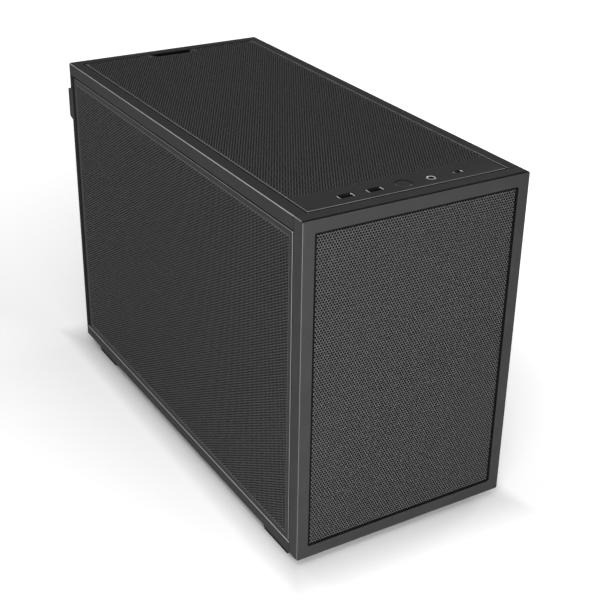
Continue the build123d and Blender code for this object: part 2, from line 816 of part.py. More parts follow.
# Mains inlet in the rear sheet, with its three blades
inlet_plane = Plane(origin=(inlet_x, rear_y, inlet_z), x_dir=(-1, 0, 0), z_dir=(0, 1, 0))
with BuildPart() as ac_inlet:
    with BuildSketch(inlet_plane):
        RectangleRounded(inlet_flange_width, inlet_flange_height, inlet_corner_radius)
        with GridLocations(1, inlet_hole_spacing, 1, 2):
            Circle(slot_screw_radius + slot_screw_seat, mode=Mode.SUBTRACT)
    extrude(amount=inlet_flange)
    with BuildSketch(inlet_plane):
        Rectangle(inlet_width, inlet_height)
    extrude(amount=-inlet_depth)
    with BuildSketch(inlet_plane.offset(inlet_flange)):
        Rectangle(inlet_cavity_width, inlet_cavity_height)
    extrude(amount=-inlet_cavity_depth, mode=Mode.SUBTRACT)
ac_inlet.part.label = "ac_inlet"

inlet_pin_places = [
    (-inlet_pin_side, -inlet_pin_rise),
    (-inlet_pin_side, inlet_pin_rise),
    (inlet_pin_side, 0),
]
with BuildPart() as ac_inlet_pins:
    with BuildSketch(inlet_plane.offset(inlet_flange - inlet_cavity_depth)):
        with Locations(*inlet_pin_places):
            Rectangle(inlet_pin_width, inlet_pin_thickness)
    extrude(amount=inlet_cavity_depth - inlet_pin_sink)
ac_inlet_pins.part.label = "ac_inlet_pins"

# Two trays for flat drives on the back of the board's sheet
drive_low_z = base_z + drive_rise
drive_places = {
    "drive_tray_front": board_front_y + drive_front_offset,
    "drive_tray_rear": board_front_y + drive_front_offset + drive_pitch,
}
drive_middle_z = drive_low_z + drive_plate_height / 2
drive_trays = []
for drive_name, drive_start_y in drive_places.items():
    drive_end_y = drive_start_y + drive_plate_length
    drive_outer_x = tray_back_x + drive_plate_offset
    drive_points = [
        (tray_back_x + sheet, drive_start_y - drive_flange),
        (tray_back_x + sheet, drive_start_y),
        (drive_outer_x, drive_start_y),
        (drive_outer_x, drive_end_y),
        (tray_back_x + sheet, drive_end_y),
        (tray_back_x + sheet, drive_end_y + drive_flange),
    ]
    with BuildPart() as drive_tray:
        with BuildSketch(Plane.XY.offset(drive_low_z)):
            add(folded_outline(drive_points))
        extrude(amount=drive_plate_height)
        with BuildSketch(Plane.YZ.offset(drive_outer_x)):
            with Locations(((drive_start_y + drive_end_y) / 2, drive_middle_z)):
                with GridLocations(drive_hole_spacing_y, drive_hole_spacing_z, 2, 2):
                    Circle(drive_hole_radius)
        extrude(amount=-sheet, mode=Mode.SUBTRACT)
    drive_tray.part.label = drive_name
    drive_trays.append(drive_tray.part)

# Housing of the ports, hung under the port plate
housing_high_z = shelf_z - sheet
housing_low_z = housing_high_z - housing_drop
housing_inner_length = port_board_length + 2 * board_play
housing_length = housing_inner_length + 2 * housing_wall
port_board_z = housing_low_z + housing_floor + board_boss_height
port_base_z = port_board_z + board_thickness
port_high_z = top_z - port_gap
port_places_x = [number * port_pitch + port_shift for number in (-2, -1, 0, 1, 2)]
with BuildPart() as io_housing:
    with BuildSketch(Plane.XY.offset(housing_low_z)):
        with Locations((0, port_y)):
            Rectangle(housing_length, housing_depth)
    extrude(amount=housing_drop)
    with BuildSketch(Plane.XY.offset(housing_high_z - housing_floor)):
        with Locations((0, port_y)):
            Rectangle(housing_length + 2 * housing_ear, housing_depth)
    extrude(amount=housing_floor)
    with BuildSketch(Plane.XY.offset(housing_low_z + housing_floor)):
        with Locations((0, port_y)):
            Rectangle(housing_inner_length, housing_depth - 2 * housing_wall)
    extrude(amount=housing_drop, mode=Mode.SUBTRACT)
    with BuildSketch(Plane.XY.offset(housing_low_z + housing_floor)):
        with Locations((0, port_y)):
            with GridLocations(port_board_length - 2 * board_boss_inset, 1, 2, 1):
                Rectangle(board_boss_width, housing_depth - 2 * housing_wall)
    extrude(amount=board_boss_height)
io_housing.part.label = "io_housing"

# Circuit board that the ports stand on
with BuildPart() as io_board:
    with BuildSketch(Plane.XY.offset(port_board_z)):
        with Locations((0, port_y)):
            Rectangle(port_board_length, port_board_width)
    extrude(amount=board_thickness)
io_board.part.label = "io_board"

# Upright port shells, open at the top
port_sizes = {
    "usb_a_port_1": (port_places_x[0], usb_a_width, usb_a_height, usb_a_corner),
    "usb_a_port_2": (port_places_x[1], usb_a_width, usb_a_height, usb_a_corner),
    "usb_c_port": (port_places_x[4], usb_c_width, usb_c_height, usb_c_corner),
}
ports = []
for port_name, (port_x, port_width, port_height, port_corner) in port_sizes.items():
    with BuildPart() as port:
        with BuildSketch(Plane.XY.offset(port_base_z)):
            with Locations((port_x, port_y)):
                RectangleRounded(port_width, port_height, port_corner)
        extrude(amount=port_high_z - port_base_z)
        with BuildSketch(Plane.XY.offset(port_base_z + port_floor)):
            with Locations((port_x, port_y)):
                RectangleRounded(
                    port_width - 2 * port_metal,
                    port_height - 2 * port_metal,
                    port_corner - port_metal,
                )
        extrude(amount=port_high_z - port_base_z, mode=Mode.SUBTRACT)
    port.part.label = port_name
    ports.append(port.part)

# Audio jack: a block on the board and a round bush up to the panel
jack_x = port_places_x[3]
with BuildPart() as audio_jack:
    with BuildSketch(Plane.XY.offset(port_base_z)):
        with Locations((jack_x, port_y)):
            Rectangle(jack_body, jack_body)
    extrude(amount=jack_body_height)
    with BuildSketch(Plane.XY.offset(port_base_z + jack_body_height)):
        with Locations((jack_x, port_y)):
            Circle(jack_ring_radius)
    extrude(amount=port_high_z - port_base_z - jack_body_height)
    with BuildSketch(Plane.XY.offset(port_high_z)):
        with Locations((jack_x, port_y)):
            Circle(jack_radius)
    extrude(amount=-jack_bore_length, mode=Mode.SUBTRACT)
audio_jack.part.label = "audio_jack"

# Power button, the collar that guides it and the switch below it
button_x = port_places_x[2]
button_high_z = top_z - button_sink
guide_high_z = top_z - guide_sink
guide_shoulder_z = guide_high_z - guide_collar
button_flange_z = guide_shoulder_z - guide_gap
button_stem_z = port_base_z + switch_height + button_travel + button_rest_gap
guide_bore_radius = button_radius + button_flange + button_clearance
with BuildPart() as power_button:
    with BuildSketch(Plane.XY.offset(button_flange_z)):
        with Locations((button_x, port_y)):
            Circle(button_radius)
    extrude(amount=button_high_z - button_flange_z)
    chamfer(power_button.faces().sort_by(Axis.Z)[-1].edges(), length=button_edge)
    with BuildSketch(Plane.XY.offset(button_flange_z - button_flange_depth)):
        with Locations((button_x, port_y)):
            Circle(button_radius + button_flange)
    extrude(amount=button_flange_depth)
    with BuildSketch(Plane.XY.offset(button_stem_z)):
        with Locations((button_x, port_y)):
            Circle(button_stem_radius)
    extrude(amount=button_flange_z - button_stem_z)
power_button.part.label = "power_button"

with BuildPart() as button_guide:
    with BuildSketch(Plane.XY.offset(port_base_z)):
        with Locations((button_x, port_y)):
            Circle(guide_bore_radius + guide_wall)
    extrude(amount=guide_high_z - port_base_z)
    with BuildSketch(Plane.XY.offset(port_base_z)):
        with Locations((button_x, port_y)):
            Circle(guide_bore_radius)
    extrude(amount=guide_shoulder_z - port_base_z, mode=Mode.SUBTRACT)
    with BuildSketch(Plane.XY.offset(guide_shoulder_z)):
        with Locations((button_x, port_y)):
            Circle(button_radius + button_clearance)
    extrude(amount=guide_high_z - guide_shoulder_z, mode=Mode.SUBTRACT)
button_guide.part.label = "button_guide"

with BuildPart() as power_switch:
    with BuildSketch(Plane.XY.offset(port_base_z)):
        with Locations((button_x, port_y)):
            Rectangle(switch_size, switch_size)
    extrude(amount=switch_height - switch_key_height)
    with BuildSketch(Plane.XY.offset(port_base_z + switch_height - switch_key_height)):
        with Locations((button_x, port_y)):
            Circle(switch_key_radius)
    extrude(amount=switch_key_height)
power_switch.part.label = "power_switch"

# Feet with sloped ends, each held by a screw from below
feet = []
foot_names = ("foot_front_left", "foot_rear_left", "foot_front_right", "foot_rear_right")
for foot_name, (place_x, place_y) in zip(foot_names, foot_places):
    foot_points = [
        (place_y - foot_length / 2, base_z),
        (place_y + foot_length / 2, base_z),
        (place_y + foot_length / 2, base_z - foot_slope_drop),
        (place_y + foot_length / 2 - foot_slope, 0),
        (place_y - foot_length / 2 + foot_slope, 0),
        (place_y - foot_length / 2, base_z - foot_slope_drop),
    ]
    with BuildPart() as foot:
        with BuildSketch(Plane.YZ.offset(place_x - foot_width / 2)):
            with BuildLine():
                Polyline(*foot_points, close=True)
            make_face()
        extrude(amount=foot_width)
        with BuildSketch(Plane.XY):
            with Locations((place_x, place_y)):
                Circle(foot_head_radius + foot_head_play)
        extrude(amount=foot_pocket_depth, mode=Mode.SUBTRACT)
        with BuildSketch(Plane.XY):
            with Locations((place_x, place_y)):
                Circle(foot_screw_radius + foot_screw_play)
        extrude(amount=foot_height, mode=Mode.SUBTRACT)
    foot.part.label = foot_name
    feet.append(foot.part)

with BuildPart() as foot_screws:
    with BuildSketch(Plane.XY.offset(foot_pocket_depth)):
        with Locations(*foot_places):
            Circle(foot_head_radius)
    extrude(amount=-foot_head_height)
    with BuildSketch(Plane.XY.offset(foot_pocket_depth)):
        with Locations(*foot_places):
            Circle(foot_screw_radius)
    extrude(amount=foot_height - foot_pocket_depth + foot_screw_tip)
foot_screws.part.label = "foot_screws"

# Front face frame
face_width = body_width - 2 * face_border
face_height = body_height - 2 * face_border_end
with BuildPart() as front_face:
    with BuildSketch(Plane.XZ.offset(-front_y)):
        with Locations((0, middle_z)):
            RectangleRounded(body_width, body_height, fold_radius)
            RectangleRounded(face_width, face_height, face_corner_radius, mode=Mode.SUBTRACT)
    extrude(amount=-face_thickness)
front_face.part.label = "front_face"

# Perforated sheet behind the face frame
mesh_y = front_y + face_thickness
with BuildPart() as front_mesh:
    with BuildSketch(Plane.XZ.offset(-mesh_y)):
        with Locations((0, middle_z)):
            Rectangle(face_width + 2 * mesh_overlap, face_height + 2 * mesh_overlap)
            add(
                perforated_field(face_width, face_height, front_columns, front_rows),
                mode=Mode.SUBTRACT,
            )
    extrude(amount=-mesh_thickness)
front_mesh.part.label = "front_mesh"

# Moulded shell behind the mesh: a wall all round, a flange and a gusset in each corner
shell_depth = front_depth - face_thickness
shell_flange_y = mesh_y + mesh_thickness
with BuildPart() as front_shell:
    with BuildSketch(Plane.XZ.offset(-mesh_y)):
        with Locations((0, middle_z)):
            RectangleRounded(body_width, body_height, fold_radius)
            Rectangle(
                body_width - 2 * shell_wall,
                body_height - 2 * shell_wall,
                mode=Mode.SUBTRACT,
            )
    extrude(amount=-shell_depth)
    with BuildSketch(Plane.XZ.offset(-mesh_y)):
        with Locations((0, middle_z)):
            Rectangle(body_width - 2 * shell_wall, body_height - 2 * shell_wall)
            Rectangle(
                face_width + 2 * mesh_overlap + 2 * seat_gap,
                face_height + 2 * mesh_overlap + 2 * seat_gap,
                mode=Mode.SUBTRACT,
            )
    extrude(amount=-mesh_thickness)
    with BuildSketch(Plane.XZ.offset(-shell_flange_y)):
        with Locations((0, middle_z)):
            Rectangle(body_width - 2 * shell_wall, body_height - 2 * shell_wall)
    extrude(amount=-shell_flange)
    with BuildSketch(Plane.XZ.offset(-shell_flange_y)) as shell_window:
        with Locations((0, middle_z)):
            Rectangle(face_width, face_height)
        chamfer(shell_window.vertices(), length=shell_gusset)
    extrude(amount=-shell_flange, mode=Mode.SUBTRACT)
front_shell.part.label = "front_shell"

# Left side panel: an inset tray of perforated sheet; the right one mirrors it
panel_length = panel_rear_y - panel_front_y
panel_height = panel_high_z - panel_low_z
panel_middle_y = (panel_rear_y + panel_front_y) / 2
panel_middle_z = (panel_high_z + panel_low_z) / 2
with BuildPart() as left_panel:
    with BuildSketch(Plane.YZ.offset(-side_x)):
        with Locations((panel_middle_y, panel_middle_z)):
            RectangleRounded(panel_length, panel_height, fold_radius)
    extrude(amount=panel_fold)
    offset(amount=-sheet, openings=left_panel.faces().sort_by(Axis.X)[-1])
    with BuildSketch(Plane.YZ.offset(-side_x)):
        with Locations((panel_middle_y, panel_middle_z)):
            add(
                perforated_field(
                    panel_length - 2 * side_border,
                    panel_height - 2 * side_border,
                    side_columns,
                    side_rows,
                )
            )
    extrude(amount=sheet, mode=Mode.SUBTRACT)
left_panel.part.label = "left_panel"

with BuildPart() as right_panel:
    add(left_panel.part)
    mirror(about=Plane.YZ, mode=Mode.REPLACE)
right_panel.part.label = "right_panel"

# Top panel: an inset tray with the port cut-outs at the front and a finger notch at the rear
top_panel_rear_y = top_rear_y - seam
top_panel_width = 2 * (rail_x - seam)
top_panel_length = top_panel_rear_y - panel_front_y
top_field_start_y = front_y + port_zone
top_field_end_y = top_panel_rear_y - notch_depth - top_border
top_field_width = top_panel_width - 2 * top_border
notch_points = [
    (-notch_width / 2 - notch_flare, top_panel_rear_y + notch_overrun),
    (-notch_inner_width / 2, top_panel_rear_y - notch_depth),
    (notch_inner_width / 2, top_panel_rear_y - notch_depth),
    (notch_width / 2 + notch_flare, top_panel_rear_y + notch_overrun),
]
with BuildPart() as top_panel:
    with BuildSketch(Plane.XY.offset(top_z)):
        with Locations((0, (top_panel_rear_y + panel_front_y) / 2)):
            RectangleRounded(top_panel_width, top_panel_length, fold_radius)
    extrude(amount=-panel_fold)
    offset(amount=-sheet, openings=top_panel.faces().sort_by(Axis.Z)[0])
    with BuildSketch(Plane.XY.offset(top_z)):
        with Locations((0, (top_field_start_y + top_field_end_y) / 2)):
            add(
                perforated_field(
                    top_field_width,
                    top_field_end_y - top_field_start_y,
                    top_columns,
                    top_rows,
                )
            )
        for port_x in port_places_x[:2]:
            with Locations((port_x, port_y)):
                Rectangle(usb_a_width + 2 * port_gap, usb_a_height + 2 * port_gap)
        with Locations((port_places_x[4], port_y)):
            RectangleRounded(
                usb_c_width + 2 * port_gap,
                usb_c_height + 2 * port_gap,
                usb_c_corner + port_gap,
            )
        with Locations((jack_x, port_y)):
            Circle(jack_ring_radius + port_gap)
        with Locations((button_x, port_y)):
            Circle(button_radius + button_clearance)
    extrude(amount=-sheet, mode=Mode.SUBTRACT)
    with BuildSketch(Plane.XY.offset(top_z)) as notch:
        with BuildLine():
            Polyline(*notch_points, close=True)
        make_face()
        fillet(notch.vertices().group_by(Axis.Y)[0], radius=notch_radius)
    extrude(amount=-panel_fold, mode=Mode.SUBTRACT)
top_panel.part.label = "top_panel"

# Snap sockets in the chassis
with BuildPart() as snap_socket:
    with BuildSketch():
        Rectangle(socket_outer_width, socket_outer_height)
    extrude(amount=-socket_length)
    with BuildSketch(Plane.XY.offset(-sheet)):
        Rectangle(socket_outer_width + 2 * socket_barb, socket_outer_height)
    extrude(amount=-socket_wall)
    with BuildSketch():
        Rectangle(tongue_width + 2 * tongue_play, tongue_thickness + 2 * tongue_play)
    extrude(amount=-(socket_length - socket_wall), mode=Mode.SUBTRACT)

# Snap tongues on the panels: a foot, a flat shank and a tapered tip
tongue_grip = socket_length - socket_wall - tongue_tip_gap
tongue_reach = panel_fold + seat_gap - sheet + tongue_grip


def snap_tongue(reach):
    """A tongue that stands on the origin and points down, as long as the reach given."""
    with BuildPart() as tongue:
        with BuildSketch():
            Rectangle(tongue_width + 2 * tongue_foot_side, tongue_thickness + 2 * tongue_foot_edge)
        extrude(amount=-tongue_foot)
        with BuildSketch():
            Rectangle(tongue_width, tongue_thickness)
        extrude(amount=-(reach - tongue_taper))
        with BuildSketch(Plane.XY.offset(-(reach - tongue_taper))):
            Rectangle(tongue_width, tongue_thickness)
        extrude(amount=-tongue_taper, taper=tongue_taper_angle)
    return tongue.part


def placed_copies(piece, planes):
    """Copies of a piece, one on each plane, as separate solids of one node."""
    with BuildPart() as copies:
        for plane in planes:
            add(plane.location * piece)
    return copies.part


side_snap_places = [
    (place_y, place_z)
    for place_y in tongue_places_y
    for place_z in (base_tongue_z, roof_tongue_z)
]
snap_groups = {}
for side, side_name in ((-1, "left"), (1, "right")):
    socket_planes = [
        Plane(origin=(side * lip_x, y, z), x_dir=(0, 1, 0), z_dir=(side, 0, 0))
        for y, z in side_snap_places
    ]
    tongue_planes = [
        Plane(origin=(side * (side_x - sheet), y, z), x_dir=(0, 1, 0), z_dir=(side, 0, 0))
        for y, z in side_snap_places
    ]
    snap_groups[f"{side_name}_sockets"] = placed_copies(snap_socket.part, socket_planes)
    snap_groups[f"{side_name}_tongues"] = placed_copies(snap_tongue(tongue_reach), tongue_planes)
top_socket_planes = [
    Plane(origin=(x, y, shelf_z), x_dir=(0, 1, 0), z_dir=(0, 0, 1)) for x, y in top_tongue_places
]
top_tongue_planes = [
    Plane(origin=(x, y, top_z - sheet), x_dir=(0, 1, 0), z_dir=(0, 0, 1))
    for x, y in top_tongue_places
]
snap_groups["top_sockets"] = placed_copies(snap_socket.part, top_socket_planes)
snap_groups["top_tongues"] = placed_copies(snap_tongue(tongue_reach), top_tongue_planes)
front_socket_planes = [
    Plane(origin=(x, chassis_y, z), x_dir=(0, 0, 1), z_dir=(0, -1, 0))
    for x, z in front_tongue_places
]
shell_back_y = shell_flange_y + shell_flange
front_tongue_planes = [
    Plane(origin=(x, shell_back_y, z), x_dir=(0, 0, 1), z_dir=(0, -1, 0))
    for x, z in front_tongue_places
]
front_reach = chassis_y - shell_back_y + tongue_grip
snap_groups["front_sockets"] = placed_copies(snap_socket.part, front_socket_planes)
snap_groups["front_tongues"] = placed_copies(snap_tongue(front_reach), front_tongue_planes)
for group_name, group_part in snap_groups.items():
    group_part.label = group_name

# Each piece goes to a file of its own name
pieces = [
    base_tray.part,
    top_frame.part,
    front_frame.part,
    rear_panel.part,
    motherboard_tray.part,
    standoffs.part,
    *slot_covers,
    slot_bracket.part,
    slot_screws.part,
    fan_frame.part,
    fan_rotor.part,
    fan_screws.part,
    psu_bracket.part,
    ac_inlet.part,
    ac_inlet_pins.part,
    *drive_trays,
    io_housing.part,
    io_board.part,
    *ports,
    audio_jack.part,
    power_button.part,
    button_guide.part,
    power_switch.part,
    *feet,
    foot_screws.part,
    front_face.part,
    front_mesh.part,
    front_shell.part,
    left_panel.part,
    right_panel.part,
    top_panel.part,
    *snap_groups.values(),
]
os.makedirs("parts", exist_ok=True)
for piece in pieces:
    export_step(piece, f"parts/{piece.label}.step")
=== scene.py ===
import json
import math

import bpy
from mathutils import Matrix, Vector
from mathutils.geometry import tessellate_polygon


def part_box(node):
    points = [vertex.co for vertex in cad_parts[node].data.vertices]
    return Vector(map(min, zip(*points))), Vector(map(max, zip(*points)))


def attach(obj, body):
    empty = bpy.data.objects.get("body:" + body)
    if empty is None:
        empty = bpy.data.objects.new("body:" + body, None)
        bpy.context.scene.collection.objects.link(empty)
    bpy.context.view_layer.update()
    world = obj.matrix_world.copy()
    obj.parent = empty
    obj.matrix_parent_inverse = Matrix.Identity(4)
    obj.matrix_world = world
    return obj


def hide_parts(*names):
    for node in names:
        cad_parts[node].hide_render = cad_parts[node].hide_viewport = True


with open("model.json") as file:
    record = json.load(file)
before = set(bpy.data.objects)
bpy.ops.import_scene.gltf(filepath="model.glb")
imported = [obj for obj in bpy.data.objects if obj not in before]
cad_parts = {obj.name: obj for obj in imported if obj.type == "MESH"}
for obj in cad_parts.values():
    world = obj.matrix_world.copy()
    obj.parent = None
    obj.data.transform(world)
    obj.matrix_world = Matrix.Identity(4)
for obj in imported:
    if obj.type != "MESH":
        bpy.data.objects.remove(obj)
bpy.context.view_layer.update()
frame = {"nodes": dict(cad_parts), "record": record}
nodes = frame["nodes"]

MM = 0.001

# Perforation of the sheets, measured in the photograph. The holes have six sides: their radius
# runs to a corner, and their reach to the middle of a side.
HOLE_PITCH = 2.39 * MM
ROW_PITCH = HOLE_PITCH * math.sqrt(3) / 2
HOLE_RADIUS = 1.03 * MM
HOLE_REACH = HOLE_RADIUS * math.sqrt(3) / 2
SHEET = 1.0 * MM
MESH_SHEET = 0.8 * MM
WALL_DROP = 0.02 * MM

# Borders of plain sheet round the perforated fields
SIDE_BORDER = 5.0 * MM
TOP_BORDER = 2.0 * MM
PORT_ZONE = 42.0 * MM

# Folded sheets: the radius of a fold, the sheet, the corners seen from the front and the rebate
# beside a flush panel, painted dark as the shade in its gap
FOLD = 0.6 * MM
FOLD_STEPS = 4
FOLDED_SHEET = 0.5 * MM
CORNER = 2.2 * MM
EDGE_BEVEL_SHARE = 0.15
SIDE_GAP = 0.7 * MM
TOP_GAP = 1.3 * MM
REBATE = 1.2 * MM
SHARP_ANGLE = math.radians(35.0)

# Frame of the front face, the shade ring behind it, painted black as shade, and the mesh pressed
# forward inside it. The frame's upper edge is cut off short, and painted black as shade where its
# normal points up by more than the slope.
FACE_BORDER = 10.0 * MM
FACE_BORDER_END = 10.6 * MM
FACE_FOLD = 0.7 * MM
FACE_SHEET = 0.4 * MM
FACE_CORNER = 1.5 * MM
FACE_OPENING_CORNER = 1.3 * MM
FACE_TOP_EDGE = 0.9 * MM
FACE_TOP_SLOPE = 0.3
SHADE_RING_INSET = 0.9 * MM
SHADE_RING_FOLD = 0.2 * MM
SHADE_RING_SHEET = 0.15 * MM
SHADE_RING_CORNER = 1.0 * MM
MESH_GAP = 0.3 * MM
MESH_BORDER = 0.2 * MM
MESH_PRESSED = 1.3 * MM
MESH_FOLD = 0.25 * MM
MESH_FOLDED_SHEET = 0.2 * MM
MESH_CORNER = 0.4 * MM

# Near-black filters behind the side and front fields and over the floor vents, sheets of painted
# shade behind the holes
FILTER_DEPTH = 1.2 * MM
FILTER_HEIGHT = 1.0 * MM
FILTER_LAP = 1.5 * MM
FILTER_FOLD = 0.3 * MM
FILTER_SHEET = 0.25 * MM
FILTER_CORNER = 1.5 * MM
BASE_FILTER_WIDTH = 160.0 * MM
BASE_FILTER_LENGTH = 174.0 * MM
BASE_FILTER_GAP = 0.2 * MM

# Rounded inner edge of the top frame
LIP = 0.62 * MM
LIP_GAP = 0.15 * MM
LIP_STEPS = 6

# Finger notch in the rear edge of the top panel
NOTCH_WIDTH = 42.0 * MM
NOTCH_INNER_WIDTH = 32.0 * MM
NOTCH_DEPTH = 10.0 * MM
WELL_LAP = 0.3 * MM
WELL_TOP = 0.75 * MM
WELL_FLOOR = 5.0 * MM
WELL_FLOOR_DROP = 0.4 * MM
WELL_CORNER = 2.0 * MM

# Cut-outs in the top panel for the ports and the button
PORT_GAP = 0.4 * MM
USB_A_CUT_CORNER = 0.8 * MM
USB_C_CUT_CORNER = 1.6 * MM
JACK_CUT_RADIUS = 4.0 * MM
BUTTON_CUT_RADIUS = 6.5 * MM
CUT_STEPS = 48

# Ports below the top panel. The rim's profile is given in shares of its width and its rise. A
# port's rim is plated and bright at its ends up to bright_end and painted dark as shade along its
# sides, and its tongue has a length, a width and a depth.
RIM_RISE = 0.2 * MM
RIM_PROFILE = ((0.0, -1.0), (0.12, 0.5), (0.35, 1.0), (0.65, 1.0), (0.88, 0.5), (1.0, -1.0))
PORT_FLOOR = 2.5 * MM
USB_A = {
    "corner": 0.6 * MM,
    "end_rim": 0.9 * MM,
    "side_rim": 0.35 * MM,
    "bright_end": 1.3 * MM,
    "tongue": (11.1 * MM, 1.9 * MM, 1.6 * MM),
    "contacts": 4,
}
USB_C = {
    "corner": 1.5 * MM,
    "end_rim": 0.9 * MM,
    "side_rim": 0.5 * MM,
    "bright_end": 2.8 * MM,
    "tongue": (6.6 * MM, 0.8 * MM, 1.0 * MM),
    "contacts": 6,
}
TONGUE_CHAMFER = 0.25 * MM
CONTACT_CHAMFER = 0.03 * MM
CONTACT_WIDTH_SHARE = 0.5
CONTACT_PROUD = 0.12 * MM
CONTACT_SUNK = 0.10 * MM
CONTACT_DROP = 0.8 * MM
JACK_BODY = 12.5 * MM
JACK_BODY_CORNER = 1.0 * MM
JACK_BODY_CHAMFER = 0.5 * MM
JACK_RING = 3.9 * MM
JACK_RING_CHAMFER = 0.3 * MM
JACK_MOUTH = 2.7 * MM
JACK_MOUTH_CHAMFER = 0.2 * MM
JACK_BORE = 1.8 * MM
JACK_BORE_DROP = 0.9 * MM
JACK_STEPS = 40

# A fold, where no part of the normal is larger than these, gets a painted highlight in a lighter
# colour and a smoother gloss
FOLD_NORMALS = (0.90, 0.75)
FOLD_GLOSS = 0.30

# Floor: half its width, half the sides of the footprint that it leaves dark, and two glows to the
# camera, each with the distances, in footprints, over which it grows, and its strength
FLOOR_REACH = 6.0
FOOTPRINT = (0.104, 0.222)
NEAR_GLOW = (0.9, 1.15, 0.42)
FAR_GLOW = (1.2, 5.0, 0.45)
FLOOR_GLOSS_SHARE = 0.28

# World: light on the object, and what the camera and gloss see, which falls off from the horizon
# to a darker ceiling
AMBIENT = 0.17
HORIZON = 1.0
CEILING = 0.22
CEILING_START = 0.30
WORLD_GLOSS_SHARE = 0.8

# Lamps: place, target, size and power
SOFTBOXES = {
    "front_softbox": ((-0.32, -0.90, 0.34), (0, -0.2, 0.15), 0.5, 5.5),
    "right_softbox": ((1.5, 0.1, 0.75), (0, 0, 0.28), 0.4, 5.0),
    "rim_softbox": ((-1.0, 1.75, 1.15), (-0.05, 0, 0.28), 0.35, 6.5),
    "high_softbox": ((-0.55, -0.75, 1.0), (0, -0.1, 0.2), 0.35, 4.2),
}

# The photograph's camera, solved from the corners of the case
CAMERA_EYE = (-0.50376, -0.8802, 0.6370)
CAMERA_TARGET = (-0.010, -0.0675, 0.1513)
CAMERA_ROLL = 0.018
CAMERA_LENS = 74.61
SENSOR_WIDTH = 36.0


def new_material(name):
    """An empty node material: its tree, its shader and the object coordinates."""
    material = bpy.data.materials.new(name)
    material.use_nodes = True
    tree = material.node_tree
    tree.nodes.clear()
    output = tree.nodes.new("ShaderNodeOutputMaterial")
    shader = tree.nodes.new("ShaderNodeBsdfPrincipled")
    tree.links.new(shader.outputs["BSDF"], output.inputs["Surface"])
    coordinates = tree.nodes.new("ShaderNodeTexCoord")
    return material, tree, shader, coordinates.outputs["Object"]


def noise(tree, vector, scale, detail=3.0, roughness=0.55):
    """A noise texture's value, with its scale in features per metre."""
    texture = tree.nodes.new("ShaderNodeTexNoise")
    texture.inputs["Scale"].default_value = scale
    texture.inputs["Detail"].default_value = detail
    texture.inputs["Roughness"].default_value = roughness
    tree.links.new(vector, texture.inputs["Vector"])
    return texture.outputs["Fac"]


def ramp(tree, value, low, high, start=0.3, end=0.7):
    """The value turned into a colour or grey between low and high."""
    node = tree.nodes.new("ShaderNodeValToRGB")
    node.color_ramp.elements[0].position = start
    node.color_ramp.elements[1].position = end
    for element, colour in zip(node.color_ramp.elements, (low, high)):
        element.color = (*colour, 1.0) if isinstance(colour, tuple) else (colour,) * 3 + (1.0,)
    tree.links.new(value, node.inputs["Fac"])
    return node.outputs["Color"]


def bump(tree, shader, height, strength, distance):
    """Fine relief of the shader's surface from a height."""
    node = tree.nodes.new("ShaderNodeBump")
    node.inputs["Strength"].default_value = strength
    node.inputs["Distance"].default_value = distance
    tree.links.new(height, node.inputs["Height"])
    tree.links.new(node.outputs["Normal"], shader.inputs["Normal"])


def math_node(tree, operation, first, second=None):
    """The result of a math node, whose inputs are sockets or plain numbers."""
    node = tree.nodes.new("ShaderNodeMath")
    node.operation = operation
    for value, socket in zip((first, second), node.inputs):
        if isinstance(value, float):
            socket.default_value = value
        elif value is not None:
            tree.links.new(value, socket)
    return node.outputs[0]


def map_range(tree, value, start, end, low=0.0, high=1.0):
    """The value led from start and end to low and high, and held there beyond them."""
    node = tree.nodes.new("ShaderNodeMapRange")
    node.inputs["From Min"].default_value = start
    node.inputs["From Max"].default_value = end
    node.inputs["To Min"].default_value = low
    node.inputs["To Max"].default_value = high
    tree.links.new(value, node.inputs["Value"])
    return node.outputs["Result"]


def fold_mask(tree):
    """One on a folded or rounded edge, zero on the flat sides that face along an axis."""
    geometry = tree.nodes.new("ShaderNodeNewGeometry")
    size = tree.nodes.new("ShaderNodeVectorMath")
    size.operation = "ABSOLUTE"
    tree.links.new(geometry.outputs["True Normal"], size.inputs[0])
    parts = tree.nodes.new("ShaderNodeSeparateXYZ")
    tree.links.new(size.outputs["Vector"], parts.inputs["Vector"])
    largest = parts.outputs["X"]
    for axis in "YZ":
        largest = math_node(tree, "MAXIMUM", largest, parts.outputs[axis])
    return map_range(tree, largest, *FOLD_NORMALS)


def coated(
    name, low, high, rough=(0.52, 0.64), grain=2600.0, relief=0.25, specular=0.25, edge=None
):
    """A painted or moulded surface: two near colours, a fine grain and uneven gloss.

    With an edge colour, the folds are painted in that lighter colour as a highlight, and are
    smoother."""
    material, tree, shader, vector = new_material(name)
    tone = noise(tree, vector, 34.0, 4.0)
    colour = ramp(tree, tone, low, high)
    fine = noise(tree, vector, grain, 2.0)
    gloss = ramp(tree, fine, rough[0], rough[1])
    if edge:
        # Painted highlight: the folds take the lighter edge colour, and a smoother gloss
        mask = fold_mask(tree)
        for value, painted_highlight_and_gloss, target in (
            (colour, edge, "Base Color"),
            (gloss, FOLD_GLOSS, "Roughness"),
        ):
            mix = tree.nodes.new("ShaderNodeMix")
            mix.data_type = "RGBA"
            tree.links.new(mask, mix.inputs["Factor"])
            tree.links.new(value, mix.inputs["A"])
            mix.inputs["B"].default_value = (painted_highlight_and_gloss, painted_highlight_and_gloss, painted_highlight_and_gloss, 1.0)
            tree.links.new(mix.outputs["Result"], shader.inputs[target])
    else:
        tree.links.new(colour, shader.inputs["Base Color"])
        tree.links.new(gloss, shader.inputs["Roughness"])
    shader.inputs["Specular IOR Level"].default_value = specular
    bump(tree, shader, fine, relief, 0.08 * MM)
    return material


